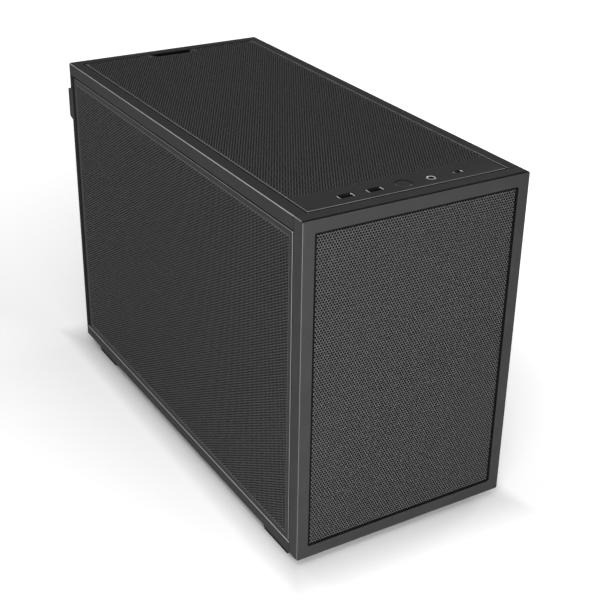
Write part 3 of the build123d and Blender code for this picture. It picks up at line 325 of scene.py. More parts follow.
def perforated_steel(name, low, high):
    """Painted perforated sheet: punched webs, some of them painted lighter as highlights."""
    material, tree, shader, vector = new_material(name)
    # Painted highlight: this noise makes some webs lighter, and also bumps them
    webs = noise(tree, vector, 420.0, 1.0)
    tree.links.new(ramp(tree, webs, low, high, 0.2, 0.75), shader.inputs["Base Color"])
    fine = noise(tree, vector, 2600.0, 2.0)
    tree.links.new(ramp(tree, fine, 0.36, 0.52), shader.inputs["Roughness"])
    shader.inputs["Specular IOR Level"].default_value = 0.4
    bump(tree, shader, webs, 0.5, 0.25 * MM)
    return material


def metal(name, low, high, rough=(0.22, 0.38), metallic=1.0):
    """A plated metal with uneven gloss."""
    material, tree, shader, vector = new_material(name)
    fine = noise(tree, vector, 1200.0, 3.0)
    tree.links.new(ramp(tree, fine, low, high), shader.inputs["Base Color"])
    tree.links.new(ramp(tree, fine, rough[0], rough[1]), shader.inputs["Roughness"])
    shader.inputs["Metallic"].default_value = metallic
    bump(tree, shader, fine, 0.12, 0.03 * MM)
    return material


def circuit_board(name):
    """Dark solder mask with faint tracks below it."""
    material, tree, shader, vector = new_material(name)
    tracks = tree.nodes.new("ShaderNodeTexBrick")
    tracks.inputs["Scale"].default_value = 220.0
    tracks.inputs["Mortar Size"].default_value = 0.03
    tracks.inputs["Color1"].default_value = (0.010, 0.022, 0.015, 1.0)
    tracks.inputs["Color2"].default_value = (0.012, 0.028, 0.018, 1.0)
    tracks.inputs["Mortar"].default_value = (0.022, 0.05, 0.03, 1.0)
    tree.links.new(vector, tracks.inputs["Vector"])
    tree.links.new(tracks.outputs["Color"], shader.inputs["Base Color"])
    shader.inputs["Roughness"].default_value = 0.35
    bump(tree, shader, tracks.outputs["Fac"], 0.2, 0.05 * MM)
    return material


# Each edge colour below is a painted highlight on the folds and chamfers of that coat
black_steel = coated("black_powder_coat", (0.030,) * 3, (0.036,) * 3, edge=0.52)
front_coat = coated("front_frame_coat", (0.034,) * 3, (0.041,) * 3, edge=0.30)
mesh_steel = perforated_steel("black_perforated_sheet", (0.040,) * 3, (0.125,) * 3)
# Painted shade: the side sheets are a darker copy of the top's perforated sheet
shaded_side_mesh_steel = perforated_steel("shaded_side_perforated_sheet", (0.028,) * 3, (0.092,) * 3)
front_mesh_steel = perforated_steel("front_perforated_sheet", (0.036,) * 3, (0.130,) * 3)
# Near black painted shade, for hole walls, rebates, gaps and recesses where shade falls
painted_shade = coated(
    "painted_shade", (0.005,) * 3, (0.008,) * 3, rough=(0.8, 0.9), relief=0.1, specular=0.1
)
# Painted shade: a darker copy of the black coat, for sheets inside the case
shaded_inner_steel = coated(
    "black_inner_steel", (0.012,) * 3, (0.016,) * 3, rough=(0.6, 0.75), specular=0.2, edge=0.04
)
black_plastic = coated(
    "black_moulded_plastic", (0.022,) * 3, (0.027,) * 3, rough=(0.45, 0.6), grain=3400.0
)
button_coat = coated("button_coat", (0.024,) * 3, (0.030,) * 3, rough=(0.4, 0.5), edge=0.16)
# Painted shade: the filters' near-black net darkens what shows through the holes
shade_net = coated(
    "shade_net", (0.004,) * 3, (0.009,) * 3, rough=(0.7, 0.9), grain=1500.0, specular=0.1
)
fan_plastic = coated(
    "fan_plastic", (0.016,) * 3, (0.020,) * 3, rough=(0.38, 0.48), grain=2200.0, relief=0.12
)
foot_rubber = coated(
    "foot_rubber", (0.014,) * 3, (0.019,) * 3, rough=(0.75, 0.9), grain=1800.0, specular=0.25
)
contact_plastic = coated(
    "port_plastic", (0.010,) * 3, (0.014,) * 3, rough=(0.3, 0.45), grain=3000.0, relief=0.1
)
zinc = metal("zinc_plate", (0.50, 0.50, 0.51), (0.62, 0.62, 0.64))
port_metal = metal("port_plating", (0.68, 0.68, 0.70), (0.80, 0.80, 0.82), rough=(0.16, 0.3))
contact_gold = metal("contact_gold", (0.70, 0.50, 0.20), (0.80, 0.60, 0.28), rough=(0.2, 0.32))
# Painted shade: a darker plate for the standoffs inside the case
dull_shaded_plate = metal("dull_shaded_plate", (0.10, 0.10, 0.105), (0.16, 0.16, 0.165), rough=(0.45, 0.6))
# Partly painted highlight: plated rims with a light diffuse share that stays bright under any
# lamp
port_rim = metal(
    "port_rim", (0.80, 0.80, 0.82), (0.90, 0.90, 0.91), rough=(0.32, 0.45), metallic=0.45
)
board_green = circuit_board("circuit_board")

slot_materials = {
    "black_steel": black_steel,
    "black_plastic": black_plastic,
    "foot_rubber": foot_rubber,
    "zinc": zinc,
    "port_metal": port_metal,
    "board": board_green,
}

# Nodes that differ from the rest of their slot, such as sheets that are seen only through the
# perforation or with a panel off, which are painted darker as shade, as are the standoffs
node_materials = {
    "front_frame": shaded_inner_steel,
    "motherboard_tray": shaded_inner_steel,
    "psu_bracket": shaded_inner_steel,
    "front_shell": front_coat,
    "power_button": button_coat,
    "fan_frame": fan_plastic,
    "fan_rotor": fan_plastic,
    "standoffs": dull_shaded_plate,
}
for subpart in frame["record"]["subparts"]:
    slots = nodes[subpart["node"]].data.materials
    slots.clear()
    material = slot_materials[subpart["material_slot"]]
    slots.append(node_materials.get(subpart["node"], material))


def mesh_object(name, vertices, faces, material):
    """A mesh with its material, linked into the scene."""
    mesh = bpy.data.meshes.new(name)
    mesh.from_pydata(vertices, [], faces)
    mesh.update()
    mesh.materials.append(material)
    result = bpy.data.objects.new(name, mesh)
    bpy.context.scene.collection.objects.link(result)
    return result


def new_piece(name, vertices, faces, material, body, replaced=()):
    """A mesh piece in place, with its material, that rides on a body."""
    piece = mesh_object(name, vertices, faces, material)
    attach(piece, body)
    if replaced:
        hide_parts(*replaced)
    return piece


def perforated_field(low, high, part=0, parts=1):
    """A flat sheet from low to high, full of staggered six-sided holes in rows along u.

    Returns its points, its faces, the count of holes and the middle line of each row. The first
    six points of each hole are its rim. A large sheet may come as parts, cut between two rows."""
    middle = ((low[0] + high[0]) / 2, (low[1] + high[1]) / 2)
    per_row = int((high[0] - low[0] - 2 * HOLE_RADIUS) / HOLE_PITCH) + 1
    row_count = int((high[1] - low[1] - 2 * HOLE_RADIUS) / ROW_PITCH) + 1
    first = row_count * part // parts
    last = row_count * (part + 1) // parts
    lines = [middle[1] + (row - (row_count - 1) / 2) * ROW_PITCH for row in range(first, last)]
    bottom = low[1] if part == 0 else lines[0] - ROW_PITCH / 2
    top = high[1] if part == parts - 1 else lines[-1] + ROW_PITCH / 2
    corners = [
        (HOLE_RADIUS * math.cos(k * math.pi / 3), HOLE_RADIUS * math.sin(k * math.pi / 3))
        for k in range(6)
    ]
    points = []
    rows = []
    for row, v in enumerate(lines, start=first):
        count = per_row - row % 2
        rows.append([len(points) + 6 * i for i in range(count)])
        for i in range(count):
            u = middle[0] + (i - (count - 1) / 2) * HOLE_PITCH
            points.extend((u + du, v + dv) for du, dv in corners)
    hole_count = len(points) // 6
    faces = []

    def edge_point(u, v):
        """The index of a new point on the sheet's edge."""
        points.append((u, v))
        return len(points) - 1

    lefts = [edge_point(low[0], v) for v in lines]
    rights = [edge_point(high[0], v) for v in lines]
    for j in range(len(rows) - 1):
        a, c = rows[j], rows[j + 1]
        wide_below = len(a) > len(c)
        shift = 0 if wide_below else 1
        for i in range(len(a) - 1):
            p, q, r = a[i], a[i + 1], c[i + shift]
            faces.append((p, q + 3, q + 2, r + 5, r + 4, p + 1))
        for i in range(len(c) - 1):
            p, q, r = c[i], c[i + 1], a[i + 1 - shift]
            faces.append((r + 1, q + 4, q + 3, p, p + 5, r + 2))
        p, q = a[0], c[0]
        between = (p + 1, q + 4) if wide_below else (q + 5, q + 4)
        faces.append((lefts[j], p + 3, p + 2, *between, q + 3, lefts[j + 1]))
        p, q = a[-1], c[-1]
        between = (q + 5, p + 2) if wide_below else (q + 5, q + 4)
        faces.append((p, rights[j], rights[j + 1], q, *between, p + 1))
    for row, v, turned in ((rows[0], bottom, False), (rows[-1], top, True)):
        near, far = (1, 2) if turned else (5, 4)
        left, right = (lefts[-1], rights[-1]) if turned else (lefts[0], rights[0])
        edge = [edge_point((points[p][0] + points[p + 3][0]) / 2, v) for p in row]
        ends = (edge_point(low[0], v), edge_point(high[0], v))
        loops = [(edge[i], p + near, p + far) for i, p in enumerate(row)]
        loops += [
            (edge[i], edge[i + 1], q + far, q + 3, p, p + near)
            for i, (p, q) in enumerate(zip(row, row[1:]))
        ]
        loops.append((ends[0], edge[0], row[0] + far, row[0] + 3, left))
        loops.append((edge[-1], ends[1], right, row[-1], row[-1] + near))
        faces.extend(tuple(reversed(loop)) if turned else loop for loop in loops)
    return points, faces, hole_count, lines


def mesh_piece(
    name, field, place, depth, body, closed_walls, replaced=(), dark_rim=False, sheet=mesh_steel
):
    """A perforated field as a piece. place turns (u, v, depth) into a point of the frame.

    With closed walls each hole has its whole wall. Without them, each row of holes has a straight
    wall on either side, which is what shows from outside on a large sheet. A dark rim is the
    outermost strip of the field, where it lies in the shade of a frame."""
    flat, faces, hole_count, lines = field
    sheet_count = len(faces)
    vertices = [place(u, v, 0.0) for u, v in flat]
    if closed_walls:
        below = len(vertices)
        vertices += [place(u, v, depth) for u, v in flat[: 6 * hole_count]]
        for hole in range(hole_count):
            for k in range(6):
                p, q = 6 * hole + k, 6 * hole + (k + 1) % 6
                faces.append((p, q, q + below, p + below))
    else:
        ends = [min(u for u, v in flat), max(u for u, v in flat)]
        for line in lines:
            for v in (line - HOLE_REACH, line + HOLE_REACH):
                k = len(vertices)
                for down in (WALL_DROP, depth):
                    vertices += [place(u, v, down) for u in ends]
                faces.append((k, k + 1, k + 3, k + 2))
    piece = new_piece(name, vertices, faces, sheet, body, replaced)
    # The hole walls, and with a dark rim the field's outermost strip, are painted near black as
    # shade
    piece.data.materials.append(painted_shade)
    walls = [0] * sheet_count + [1] * (len(faces) - sheet_count)
    if dark_rim:
        for i, face in enumerate(faces[:sheet_count]):
            walls[i] = int(max(face) >= 6 * hole_count)
    piece.data.polygons.foreach_set("material_index", walls)
    return piece


def rounded_loop(corners, radius, inset, steps=5):
    """Points of a closed outline with round corners, moved in by inset. corners turn left."""
    points = []
    count = len(corners)
    for i in range(count):
        before = Vector(corners[i - 1])
        corner = Vector(corners[i])
        after = Vector(corners[(i + 1) % count])
        to_before = (before - corner).normalized()
        to_after = (after - corner).normalized()
        out_a = Vector((-to_before.y, to_before.x))
        out_b = Vector((to_after.y, -to_after.x))
        convex = out_a.cross(out_b) > 0
        half = math.acos(max(-1.0, min(1.0, to_before.dot(to_after)))) / 2
        reach = radius / math.sin(half)
        centre = corner + (to_before + to_after).normalized() * reach
        start = math.atan2(out_a.y, out_a.x)
        turn = math.atan2(out_a.cross(out_b), out_a.dot(out_b))
        for step in range(steps + 1):
            angle = start + turn * step / steps
            normal = Vector((math.cos(angle), math.sin(angle)))
            if convex:
                points.append(centre + normal * (radius - inset))
            else:
                points.append(centre - normal * (radius + inset))
    return [(p.x, p.y) for p in points]


def rectangle(low, high, inset=0.0):
    """The four corners of a rectangle, turning left, moved in by inset."""
    left, right = low[0] + inset, high[0] - inset
    bottom, top = low[1] + inset, high[1] - inset
    return [(left, bottom), (right, bottom), (right, top), (left, top)]


def quarter_turn(steps):
    """The angles from zero to a quarter turn."""
    return [k * math.pi / (2 * steps) for k in range(steps + 1)]


def layered_loops(loops):
    """The quads between closed loops that have the same count of points."""
    count = len(loops[0])
    return [
        (base + i, base + (i + 1) % count, base + count + (i + 1) % count, base + count + i)
        for base in range(0, count * (len(loops) - 1), count)
        for i in range(count)
    ]


def folded_tray(
    name,
    corners,
    holes,
    depth,
    place,
    material,
    body,
    replaced=(),
    fold=FOLD,
    thickness=FOLDED_SHEET,
    corner=CORNER,
    wall_material=None,
    gap_shade=0.0,
):
    """A sheet with cut-outs whose edge is folded back all round, as one closed piece.

    gap_shade is the width of a dark rebate all round, the shadow gap beside a flush panel."""
    arc = [(math.sin(angle), math.cos(angle)) for angle in quarter_turn(FOLD_STEPS)]
    inner = fold - thickness
    lip = EDGE_BEVEL_SHARE * thickness
    brim = gap_shade + fold
    profile = [(brim - fold * s, fold - fold * c) for s, c in arc]
    if gap_shade:
        profile += [(gap_shade, fold + REBATE), (0.0, fold + REBATE)]
    profile += [(0.0, depth - lip), (lip, depth)]
    profile += [(thickness - lip, depth), (thickness, depth - lip)]
    if gap_shade:
        ledge = fold + REBATE + thickness
        profile += [(thickness, ledge), (gap_shade + thickness, ledge)]
    profile += [(brim - inner * s, fold - inner * c) for s, c in reversed(arc)]
    vertices = []
    faces = []
    rings = []
    for inset, down in profile:
        loop = rounded_loop(corners, corner, inset)
        rings.append(range(len(vertices), len(vertices) + len(loop)))
        vertices.extend(place(u, v, down) for u, v in loop)
    shaded = []
    for level, (upper, lower) in enumerate(zip(rings, rings[1:])):
        count = len(upper)
        if gap_shade and level == len(arc) - 1:
            shaded = range(len(faces), len(faces) + 2 * count)
        for i in range(count):
            k = (i + 1) % count
            faces.append((upper[i], lower[i], lower[k], upper[k]))
    sides = []
    for down, ring in ((0.0, rings[0]), (thickness, rings[-1])):
        outline = [(u, v, 0.0) for u, v in rounded_loop(corners, corner, brim)]
        loops = [[Vector(p) for p in outline]]
        index = list(ring)
        hole_rings = []
        for hole in holes:
            hole_rings.append(range(len(vertices), len(vertices) + len(hole)))
            index += hole_rings[-1]
            loops.append([Vector((u, v, 0.0)) for u, v in hole])
            vertices.extend(place(u, v, down) for u, v in hole)
        for triangle in tessellate_polygon(loops):
            faces.append(tuple(index[k] for k in triangle))
        sides.append(hole_rings)
    skin_count = len(faces)
    for outer, lower in zip(*sides):
        count = len(outer)
        for i in range(count):
            k = (i + 1) % count
            faces.append((outer[i], outer[k], lower[k], lower[i]))
    piece = new_piece(name, vertices, faces, material, body, replaced)
    # The rebate and the walls of the cut-outs take wall_material, which paints them dark as shade
    if wall_material:
        piece.data.materials.append(wall_material)
        index = [int(i in shaded) for i in range(skin_count)] + [1] * (len(faces) - skin_count)
        piece.data.polygons.foreach_set("material_index", index)
    shade_by_angle(piece)
    return piece


def shade_by_angle(piece):
    """Smooth shading with sharp edges kept, and all faces turned outward."""
    bpy.context.view_layer.objects.active = piece
    for other in bpy.context.selected_objects:
        other.select_set(False)
    piece.select_set(True)
    bpy.ops.object.mode_set(mode="EDIT")
    bpy.ops.mesh.select_all(action="SELECT")
    bpy.ops.mesh.normals_make_consistent(inside=False)
    bpy.ops.object.mode_set(mode="OBJECT")
    bpy.ops.object.shade_smooth_by_angle(angle=SHARP_ANGLE)
    piece.select_set(False)


def circle_loop(centre, radius, count):
    """The points of a round hole, turning left."""
    step = 2 * math.pi / count
    return [
        (centre[0] + radius * math.cos(k * step), centre[1] + radius * math.sin(k * step))
        for k in range(count)
    ]


def shade_filter(name, low, high, place, body):
    """A thin filter with a shallow rim, behind a perforated field or over the vents, near black
    as painted shade seen through the holes.
    """
    folded_tray(
        name,
        rectangle(low, high),
        [],
        FILTER_HEIGHT,
        place,
        shade_net,
        body,
        fold=FILTER_FOLD,
        thickness=FILTER_SHEET,
        corner=FILTER_CORNER,
    )


def side_panel(side, name):
    """One side panel: a folded tray round a perforated field."""
    low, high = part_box(name)
    face_x = side * high.x if side > 0 else low.x
    field_low = (low.y + SIDE_BORDER, low.z + SIDE_BORDER)
    field_high = (high.y - SIDE_BORDER, high.z - SIDE_BORDER)

    def place(u, v, down):
        """A point behind the panel's face, with v upward."""
        return (face_x - side * down, u, v)

    def place_rows_upright(u, v, down):
        """A point behind the panel's face, with u upward."""
        return (face_x - side * down, v, u)

    folded_tray(
        f"{name}_tray",
        rectangle((low.y, low.z), (high.y, high.z)),
        [rectangle(field_low, field_high)],
        high.x - low.x,
        place,
        black_steel,
        name,
        (name,),
        wall_material=painted_shade,
        gap_shade=SIDE_GAP,
    )
    mesh_piece(
        f"{name}_field",
        perforated_field((field_low[1], field_low[0]), (field_high[1], field_high[0])),
        place_rows_upright,
        SHEET,
        name,
        False,
        sheet=shaded_side_mesh_steel,
    )

    def place_filter(u, v, down):
        """A point of the filter behind the panel's field."""
        return (face_x - side * (FILTER_DEPTH + down), u, v)

    shade_filter(
        f"{name}_filter",
        (field_low[0] - FILTER_LAP, field_low[1] - FILTER_LAP),
        (field_high[0] + FILTER_LAP, field_high[1] + FILTER_LAP),
        place_filter,
        name,
    )


side_panel(-1, "left_panel")
side_panel(1, "right_panel")

base_filter_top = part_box("base_tray")[0].z + SHEET + FILTER_HEIGHT + BASE_FILTER_GAP


def place_base_filter(u, v, down):
    """A point of the filter that lies on the floor of the case, over its vents."""
    return (u, v, base_filter_top - down)


shade_filter(
    "base_filter",
    (-BASE_FILTER_WIDTH / 2, -BASE_FILTER_LENGTH / 2),
    (BASE_FILTER_WIDTH / 2, BASE_FILTER_LENGTH / 2),
    place_base_filter,
    "chassis",
)


def frame_lip(side):
    """The rounded inner edge of the top frame along one side of the top panel."""
    low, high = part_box("top_panel")
    inner = high.x + LIP_GAP
    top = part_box("top_frame")[1].z
    profile = [
        (inner + LIP * (1 - math.cos(angle)), top - LIP * (1 - math.sin(angle)))
        for angle in quarter_turn(LIP_STEPS)
    ]
    profile += [(inner + LIP, top - LIP)]
    vertices = [(side * x, y, z) for y in (low.y + LIP, high.y - LIP) for x, z in profile]
    count = len(profile)
    faces = [(i, (i + 1) % count, count + (i + 1) % count, count + i) for i in range(count)]
    faces += [tuple(range(count)), tuple(reversed(range(count, 2 * count)))]
    name = "top_frame_lip_left" if side < 0 else "top_frame_lip_right"
    shade_by_angle(new_piece(name, vertices, faces, black_steel, "chassis"))


frame_lip(-1)
frame_lip(1)

# The top panel is a tray round four perforated fields, which leave room for the finger notch
top_low, top_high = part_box("top_panel")
front_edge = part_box("front_face")[0].y


def place_top(u, v, down):
    """A point below the face of the top panel."""
    return (u, v, top_high.z - down)


def middle_of(name):
    """The middle of a node's box, seen from above."""
    low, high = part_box(name)
    return ((low.x + high.x) / 2, (low.y + high.y) / 2)


def port_hole(name, corner):
    """The cut-out round a port, from the port's own box."""
    low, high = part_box(name)
    return rounded_loop(rectangle(low, high, -PORT_GAP), corner, 0.0)


def round_port(name, radius):
    """A round cut-out over a port or the button, whose rim has this radius."""
    return circle_loop(middle_of(name), radius + PORT_GAP, CUT_STEPS)


top_corners = [
    (top_low.x, top_low.y),
    (top_high.x, top_low.y),
    (top_high.x, top_high.y),
    (NOTCH_WIDTH / 2, top_high.y),
    (NOTCH_INNER_WIDTH / 2, top_high.y - NOTCH_DEPTH),
    (-NOTCH_INNER_WIDTH / 2, top_high.y - NOTCH_DEPTH),
    (-NOTCH_WIDTH / 2, top_high.y),
    (top_low.x, top_high.y),
]
notch_rows = int(NOTCH_DEPTH / ROW_PITCH)
notch_reach = NOTCH_WIDTH / 2 + TOP_BORDER
top_field_low = (top_low.x + TOP_BORDER, front_edge + PORT_ZONE)
top_field_high = (top_high.x - TOP_BORDER, top_high.y - TOP_BORDER - notch_rows * ROW_PITCH)
top_rear_y = top_high.y - TOP_BORDER
top_field_outline = [
    top_field_low,
    (top_field_high[0], top_field_low[1]),
    (top_field_high[0], top_rear_y),
    (notch_reach, top_rear_y),
    (notch_reach, top_field_high[1]),
    (-notch_reach, top_field_high[1]),
    (-notch_reach, top_rear_y),
    (top_field_low[0], top_rear_y),
]
folded_tray(
    "top_panel_tray",
    top_corners,
    [
        top_field_outline,
        port_hole("usb_a_port_1", USB_A_CUT_CORNER),
        port_hole("usb_a_port_2", USB_A_CUT_CORNER),
        port_hole("usb_c_port", USB_C_CUT_CORNER),
        round_port("audio_jack", JACK_CUT_RADIUS),
        round_port("power_button", BUTTON_CUT_RADIUS),
    ],
    top_high.z - top_low.z,
    place_top,
    black_steel,
    "top_panel",
    ("top_panel",),
    wall_material=painted_shade,
    gap_shade=TOP_GAP,
)
for part_name, field in (
    ("front", perforated_field(top_field_low, top_field_high, 0, 2)),
    ("rear", perforated_field(top_field_low, top_field_high, 1, 2)),
    (
        "rear_left",
        perforated_field((top_field_low[0], top_field_high[1]), (-notch_reach, top_rear_y)),
    ),
    (
        "rear_right",
        perforated_field((notch_reach, top_field_high[1]), (top_field_high[0], top_rear_y)),
    ),
):
    mesh_piece(f"top_panel_field_{part_name}", field, place_top, SHEET, "top_panel", True)


def notch_well():
    """The finger well under the notch, with a floor and a wall round it, painted black as the
    shade in it.
    """
    front = top_high.y - NOTCH_DEPTH
    outline = [
        (NOTCH_WIDTH / 2 + WELL_LAP, top_high.y + WELL_LAP),
        (-NOTCH_WIDTH / 2 - WELL_LAP, top_high.y + WELL_LAP),
        (-NOTCH_INNER_WIDTH / 2 - WELL_LAP, front - WELL_LAP),
        (NOTCH_INNER_WIDTH / 2 + WELL_LAP, front - WELL_LAP),
    ]
    levels = ((0.0, WELL_TOP), (0.0, WELL_FLOOR), (WELL_LAP, WELL_FLOOR + WELL_FLOOR_DROP))
    loops = [
        [place_top(u, v, down) for u, v in rounded_loop(outline, WELL_CORNER, inset)]
        for inset, down in levels
    ]
    vertices = [point for loop in loops for point in loop]
    faces = layered_loops(loops)
    faces.append(tuple(range(len(vertices) - len(loops[-1]), len(vertices))))
    new_piece("notch_well", vertices, faces, painted_shade, "top_panel")


notch_well()


def port_shell(name, corner, end_rim, side_rim, bright_end, tongue, contacts):
    """A port seen from above: plated rim, painted dark as shade along its sides, a well painted
    dark as shade, and a tongue with its contacts.
    """
    low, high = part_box(name)
    centre = Vector(middle_of(name))
    half = Vector(((high.x - low.x) / 2, (high.y - low.y) / 2))
    outline = [Vector(p) - centre for p in rounded_loop(rectangle(low, high), corner, 0.0)]

    def loop(share, z):
        """The port's outline, moved in by a share of its rim."""
        across = (half.x - share * end_rim) / half.x
        deep = (half.y - share * side_rim) / half.y
        return [(centre.x + p.x * across, centre.y + p.y * deep, z) for p in outline]

    floor = low.z + PORT_FLOOR
    rim = [loop(share, high.z + rise * RIM_RISE) for share, rise in RIM_PROFILE]
    loops = [loop(0.0, low.z), *rim, loop(1.0, floor)]
    vertices = [point for ring in loops for point in ring]
    faces = layered_loops(loops)
    count = len(outline)
    metal_count = len(faces) - count
    faces.append(tuple(reversed(range(count))))
    faces.append(tuple(range(len(vertices) - count, len(vertices))))
    # The well and its floor take the dark plastic as painted shade, and so do the rim faces away
    # from the ends, below
    index = [0] * metal_count + [1] * count + [0, 1]
    for i in range(count, metal_count):
        middle = sum(vertices[k][0] for k in faces[i]) / 4
        if abs(middle - centre.x) < half.x - bright_end:
            index[i] = 1

    def block(block_low, block_high, chamfer, material):
        """A block with a chamfer round its top, in one of the port's three materials."""
        first = len(vertices)
        shoulder = block_high[2] - chamfer
        rings = [
            [(u, v, z) for u, v in rectangle(block_low, block_high, inset)]
            for inset, z in ((0.0, block_low[2]), (0.0, shoulder), (chamfer, block_high[2]))
        ]
        vertices.extend(point for ring in rings for point in ring)
        block_faces = layered_loops(rings) + [(3, 2, 1, 0), (8, 9, 10, 11)]
        faces.extend(tuple(first + k for k in face) for face in block_faces)
        index.extend([material] * len(block_faces))

    tongue_half = (tongue[0] / 2, tongue[1] / 2)
    tongue_top = high.z - tongue[2]
    block(
        (centre.x - tongue_half[0], centre.y - tongue_half[1], floor),
        (centre.x + tongue_half[0], centre.y + tongue_half[1], tongue_top),
        TONGUE_CHAMFER,
        1,
    )
    step = tongue[0] / contacts
    reach = CONTACT_WIDTH_SHARE / 2 * step
    for k in range(contacts):
        x = centre.x - tongue_half[0] + (k + 0.5) * step
        y = centre.y - tongue_half[1]
        block(
            (x - reach, y - CONTACT_PROUD, floor),
            (x + reach, y + CONTACT_SUNK, tongue_top - CONTACT_DROP),
            CONTACT_CHAMFER,
            2,
        )
    piece = new_piece(f"{name}_shell", vertices, faces, port_rim, "chassis", (name,))
    piece.data.materials.append(contact_plastic)
    piece.data.materials.append(contact_gold)
    piece.data.polygons.foreach_set("material_index", index)
    shade_by_angle(piece)


def jack_bush():
    """The audio jack: a plated ring round a dark bore, on its plastic block."""
    low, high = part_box("audio_jack")
    crest = high.z + RIM_RISE
    shoulder = low.z + JACK_BODY
    profile = [
        (JACK_RING, shoulder),
        (JACK_RING, high.z - RIM_RISE),
        (JACK_RING - JACK_RING_CHAMFER, crest),
        (JACK_MOUTH + JACK_MOUTH_CHAMFER, crest),
        (JACK_MOUTH, high.z),
        (JACK_BORE, high.z - JACK_BORE_DROP),
        (JACK_BORE, low.z + PORT_FLOOR),
    ]
    loops = [
        [(u, v, z) for u, v in circle_loop(middle_of("audio_jack"), radius, JACK_STEPS)]
        for radius, z in profile
    ]
    vertices = [point for ring in loops for point in ring]
    faces = layered_loops(loops)
    dark_count = 2 * JACK_STEPS + 1
    faces.append(tuple(range(len(vertices) - JACK_STEPS, len(vertices))))
    index = [0] * (len(faces) - dark_count) + [1] * dark_count
    body = []
    for inset, z in (
        (0.0, low.z),
        (0.0, shoulder - JACK_BODY_CHAMFER),
        (JACK_BODY_CHAMFER, shoulder),
    ):
        corners = rounded_loop(rectangle(low, high), JACK_BODY_CORNER, inset)
        body.append([(u, v, z) for u, v in corners])
    first = len(vertices)
    vertices.extend(point for ring in body for point in ring)
    count = len(body[0])
    body_faces = layered_loops(body)
    body_faces.append(tuple(reversed(range(count))))
    body_faces.append(tuple(range(2 * count, 3 * count)))
    faces.extend(tuple(first + k for k in face) for face in body_faces)
    index.extend([1] * len(body_faces))
    piece = new_piece(
        "audio_jack_bush", vertices, faces, port_rim, "chassis", ("audio_jack",)
    )
    piece.data.materials.append(contact_plastic)
    piece.data.polygons.foreach_set("material_index", index)
    shade_by_angle(piece)


port_shell("usb_a_port_1", **USB_A)
port_shell("usb_a_port_2", **USB_A)
port_shell("usb_c_port", **USB_C)
jack_bush()

# The front panel is a frame with a shade ring behind it, round a mesh in a rim; the ring and the
# rim are painted black as shade
face_low, face_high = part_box("front_face")
mesh_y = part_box("front_mesh")[0].y
opening_low = (face_low.x + FACE_BORDER, face_low.z + FACE_BORDER_END)
opening_high = (face_high.x - FACE_BORDER, face_high.z - FACE_BORDER_END)


def place_front(u, v, down):
    """A point of the front mesh, whose field is pressed forward from its rim."""
    return (u, mesh_y - MESH_PRESSED + down, v)


def place_face(u, v, down):
    """A point of the face frame, whose upper edge isn't folded back but cut off short."""
    if v > face_high.z - FACE_TOP_EDGE:
        down = min(down, FACE_TOP_EDGE)
    return (u, face_low.y + down, v)


def place_face_gap(u, v, down):
    """A point of the ring behind the face frame, which is painted black as shade."""
    return (u, face_low.y + FACE_TOP_EDGE + down, v)


mesh_low = (opening_low[0] + MESH_GAP, opening_low[1] + MESH_GAP)
mesh_high = (opening_high[0] - MESH_GAP, opening_high[1] - MESH_GAP)
field_low = (mesh_low[0] + MESH_BORDER, mesh_low[1] + MESH_BORDER)
field_high = (mesh_high[0] - MESH_BORDER, mesh_high[1] - MESH_BORDER)
face_frame = folded_tray(
    "front_face_frame",
    rectangle((face_low.x, face_low.z), (face_high.x, face_high.z)),
    [rounded_loop(rectangle(opening_low, opening_high), FACE_OPENING_CORNER, 0.0)],
    face_high.y - face_low.y,
    place_face,
    front_coat,
    "front_panel",
    ("front_face",),
    fold=FACE_FOLD,
    thickness=FACE_SHEET,
    corner=FACE_CORNER,
    wall_material=painted_shade,
)
# Painted shade: the frame's upper edge faces that point up take the black, as a shadow line
for polygon in face_frame.data.polygons:
    at_top = polygon.center.z > face_high.z - FACE_TOP_EDGE
    polygon.material_index = int(at_top and polygon.normal.z > FACE_TOP_SLOPE)
# The shade ring is painted black as the shade in the gap behind the frame
folded_tray(
    "front_face_shade_ring",
    rectangle((face_low.x, face_low.z), (face_high.x, face_high.z), SHADE_RING_INSET),
    [rectangle(opening_low, opening_high)],
    face_high.y - face_low.y - FACE_TOP_EDGE,
    place_face_gap,
    painted_shade,
    "front_panel",
    fold=SHADE_RING_FOLD,
    thickness=SHADE_RING_SHEET,
    corner=SHADE_RING_CORNER,
)
# The mesh rim is painted black as the shade round the mesh
folded_tray(
    "front_mesh_rim",
    rectangle(mesh_low, mesh_high),
    [rectangle(field_low, field_high)],
    MESH_PRESSED + MESH_SHEET,
    place_front,
    painted_shade,
    "front_panel",
    fold=MESH_FOLD,
    thickness=MESH_FOLDED_SHEET,
    corner=MESH_CORNER,
)
mesh_piece(
    "front_mesh_field",
    perforated_field(field_low, field_high),
    place_front,
    MESH_SHEET,
    "front_panel",
    True,
    replaced=("front_mesh",),
    dark_rim=True,
    sheet=front_mesh_steel,
)


def place_front_filter(u, v, down):
    """A point of the filter that lies against the back of the front mesh."""
    return (u, mesh_y - MESH_PRESSED + MESH_SHEET + down, v)


shade_filter(
    "front_filter",
    (opening_low[0] + FILTER_LAP, opening_low[1] + FILTER_LAP),
    (opening_high[0] - FILTER_LAP, opening_high[1] - FILTER_LAP),
    place_front_filter,
    "front_panel",
)


def seen_directly(tree, share):
    """One for the camera, the share for gloss and see-through rays, zero for diffuse light."""
    path = tree.nodes.new("ShaderNodeLightPath")
    seen = path.outputs["Is Camera Ray"]
    for kind in ("Is Glossy Ray", "Is Transmission Ray"):
        part = math_node(tree, "MULTIPLY", path.outputs[kind], share)
        seen = math_node(tree, "MAXIMUM", seen, part)
    return seen


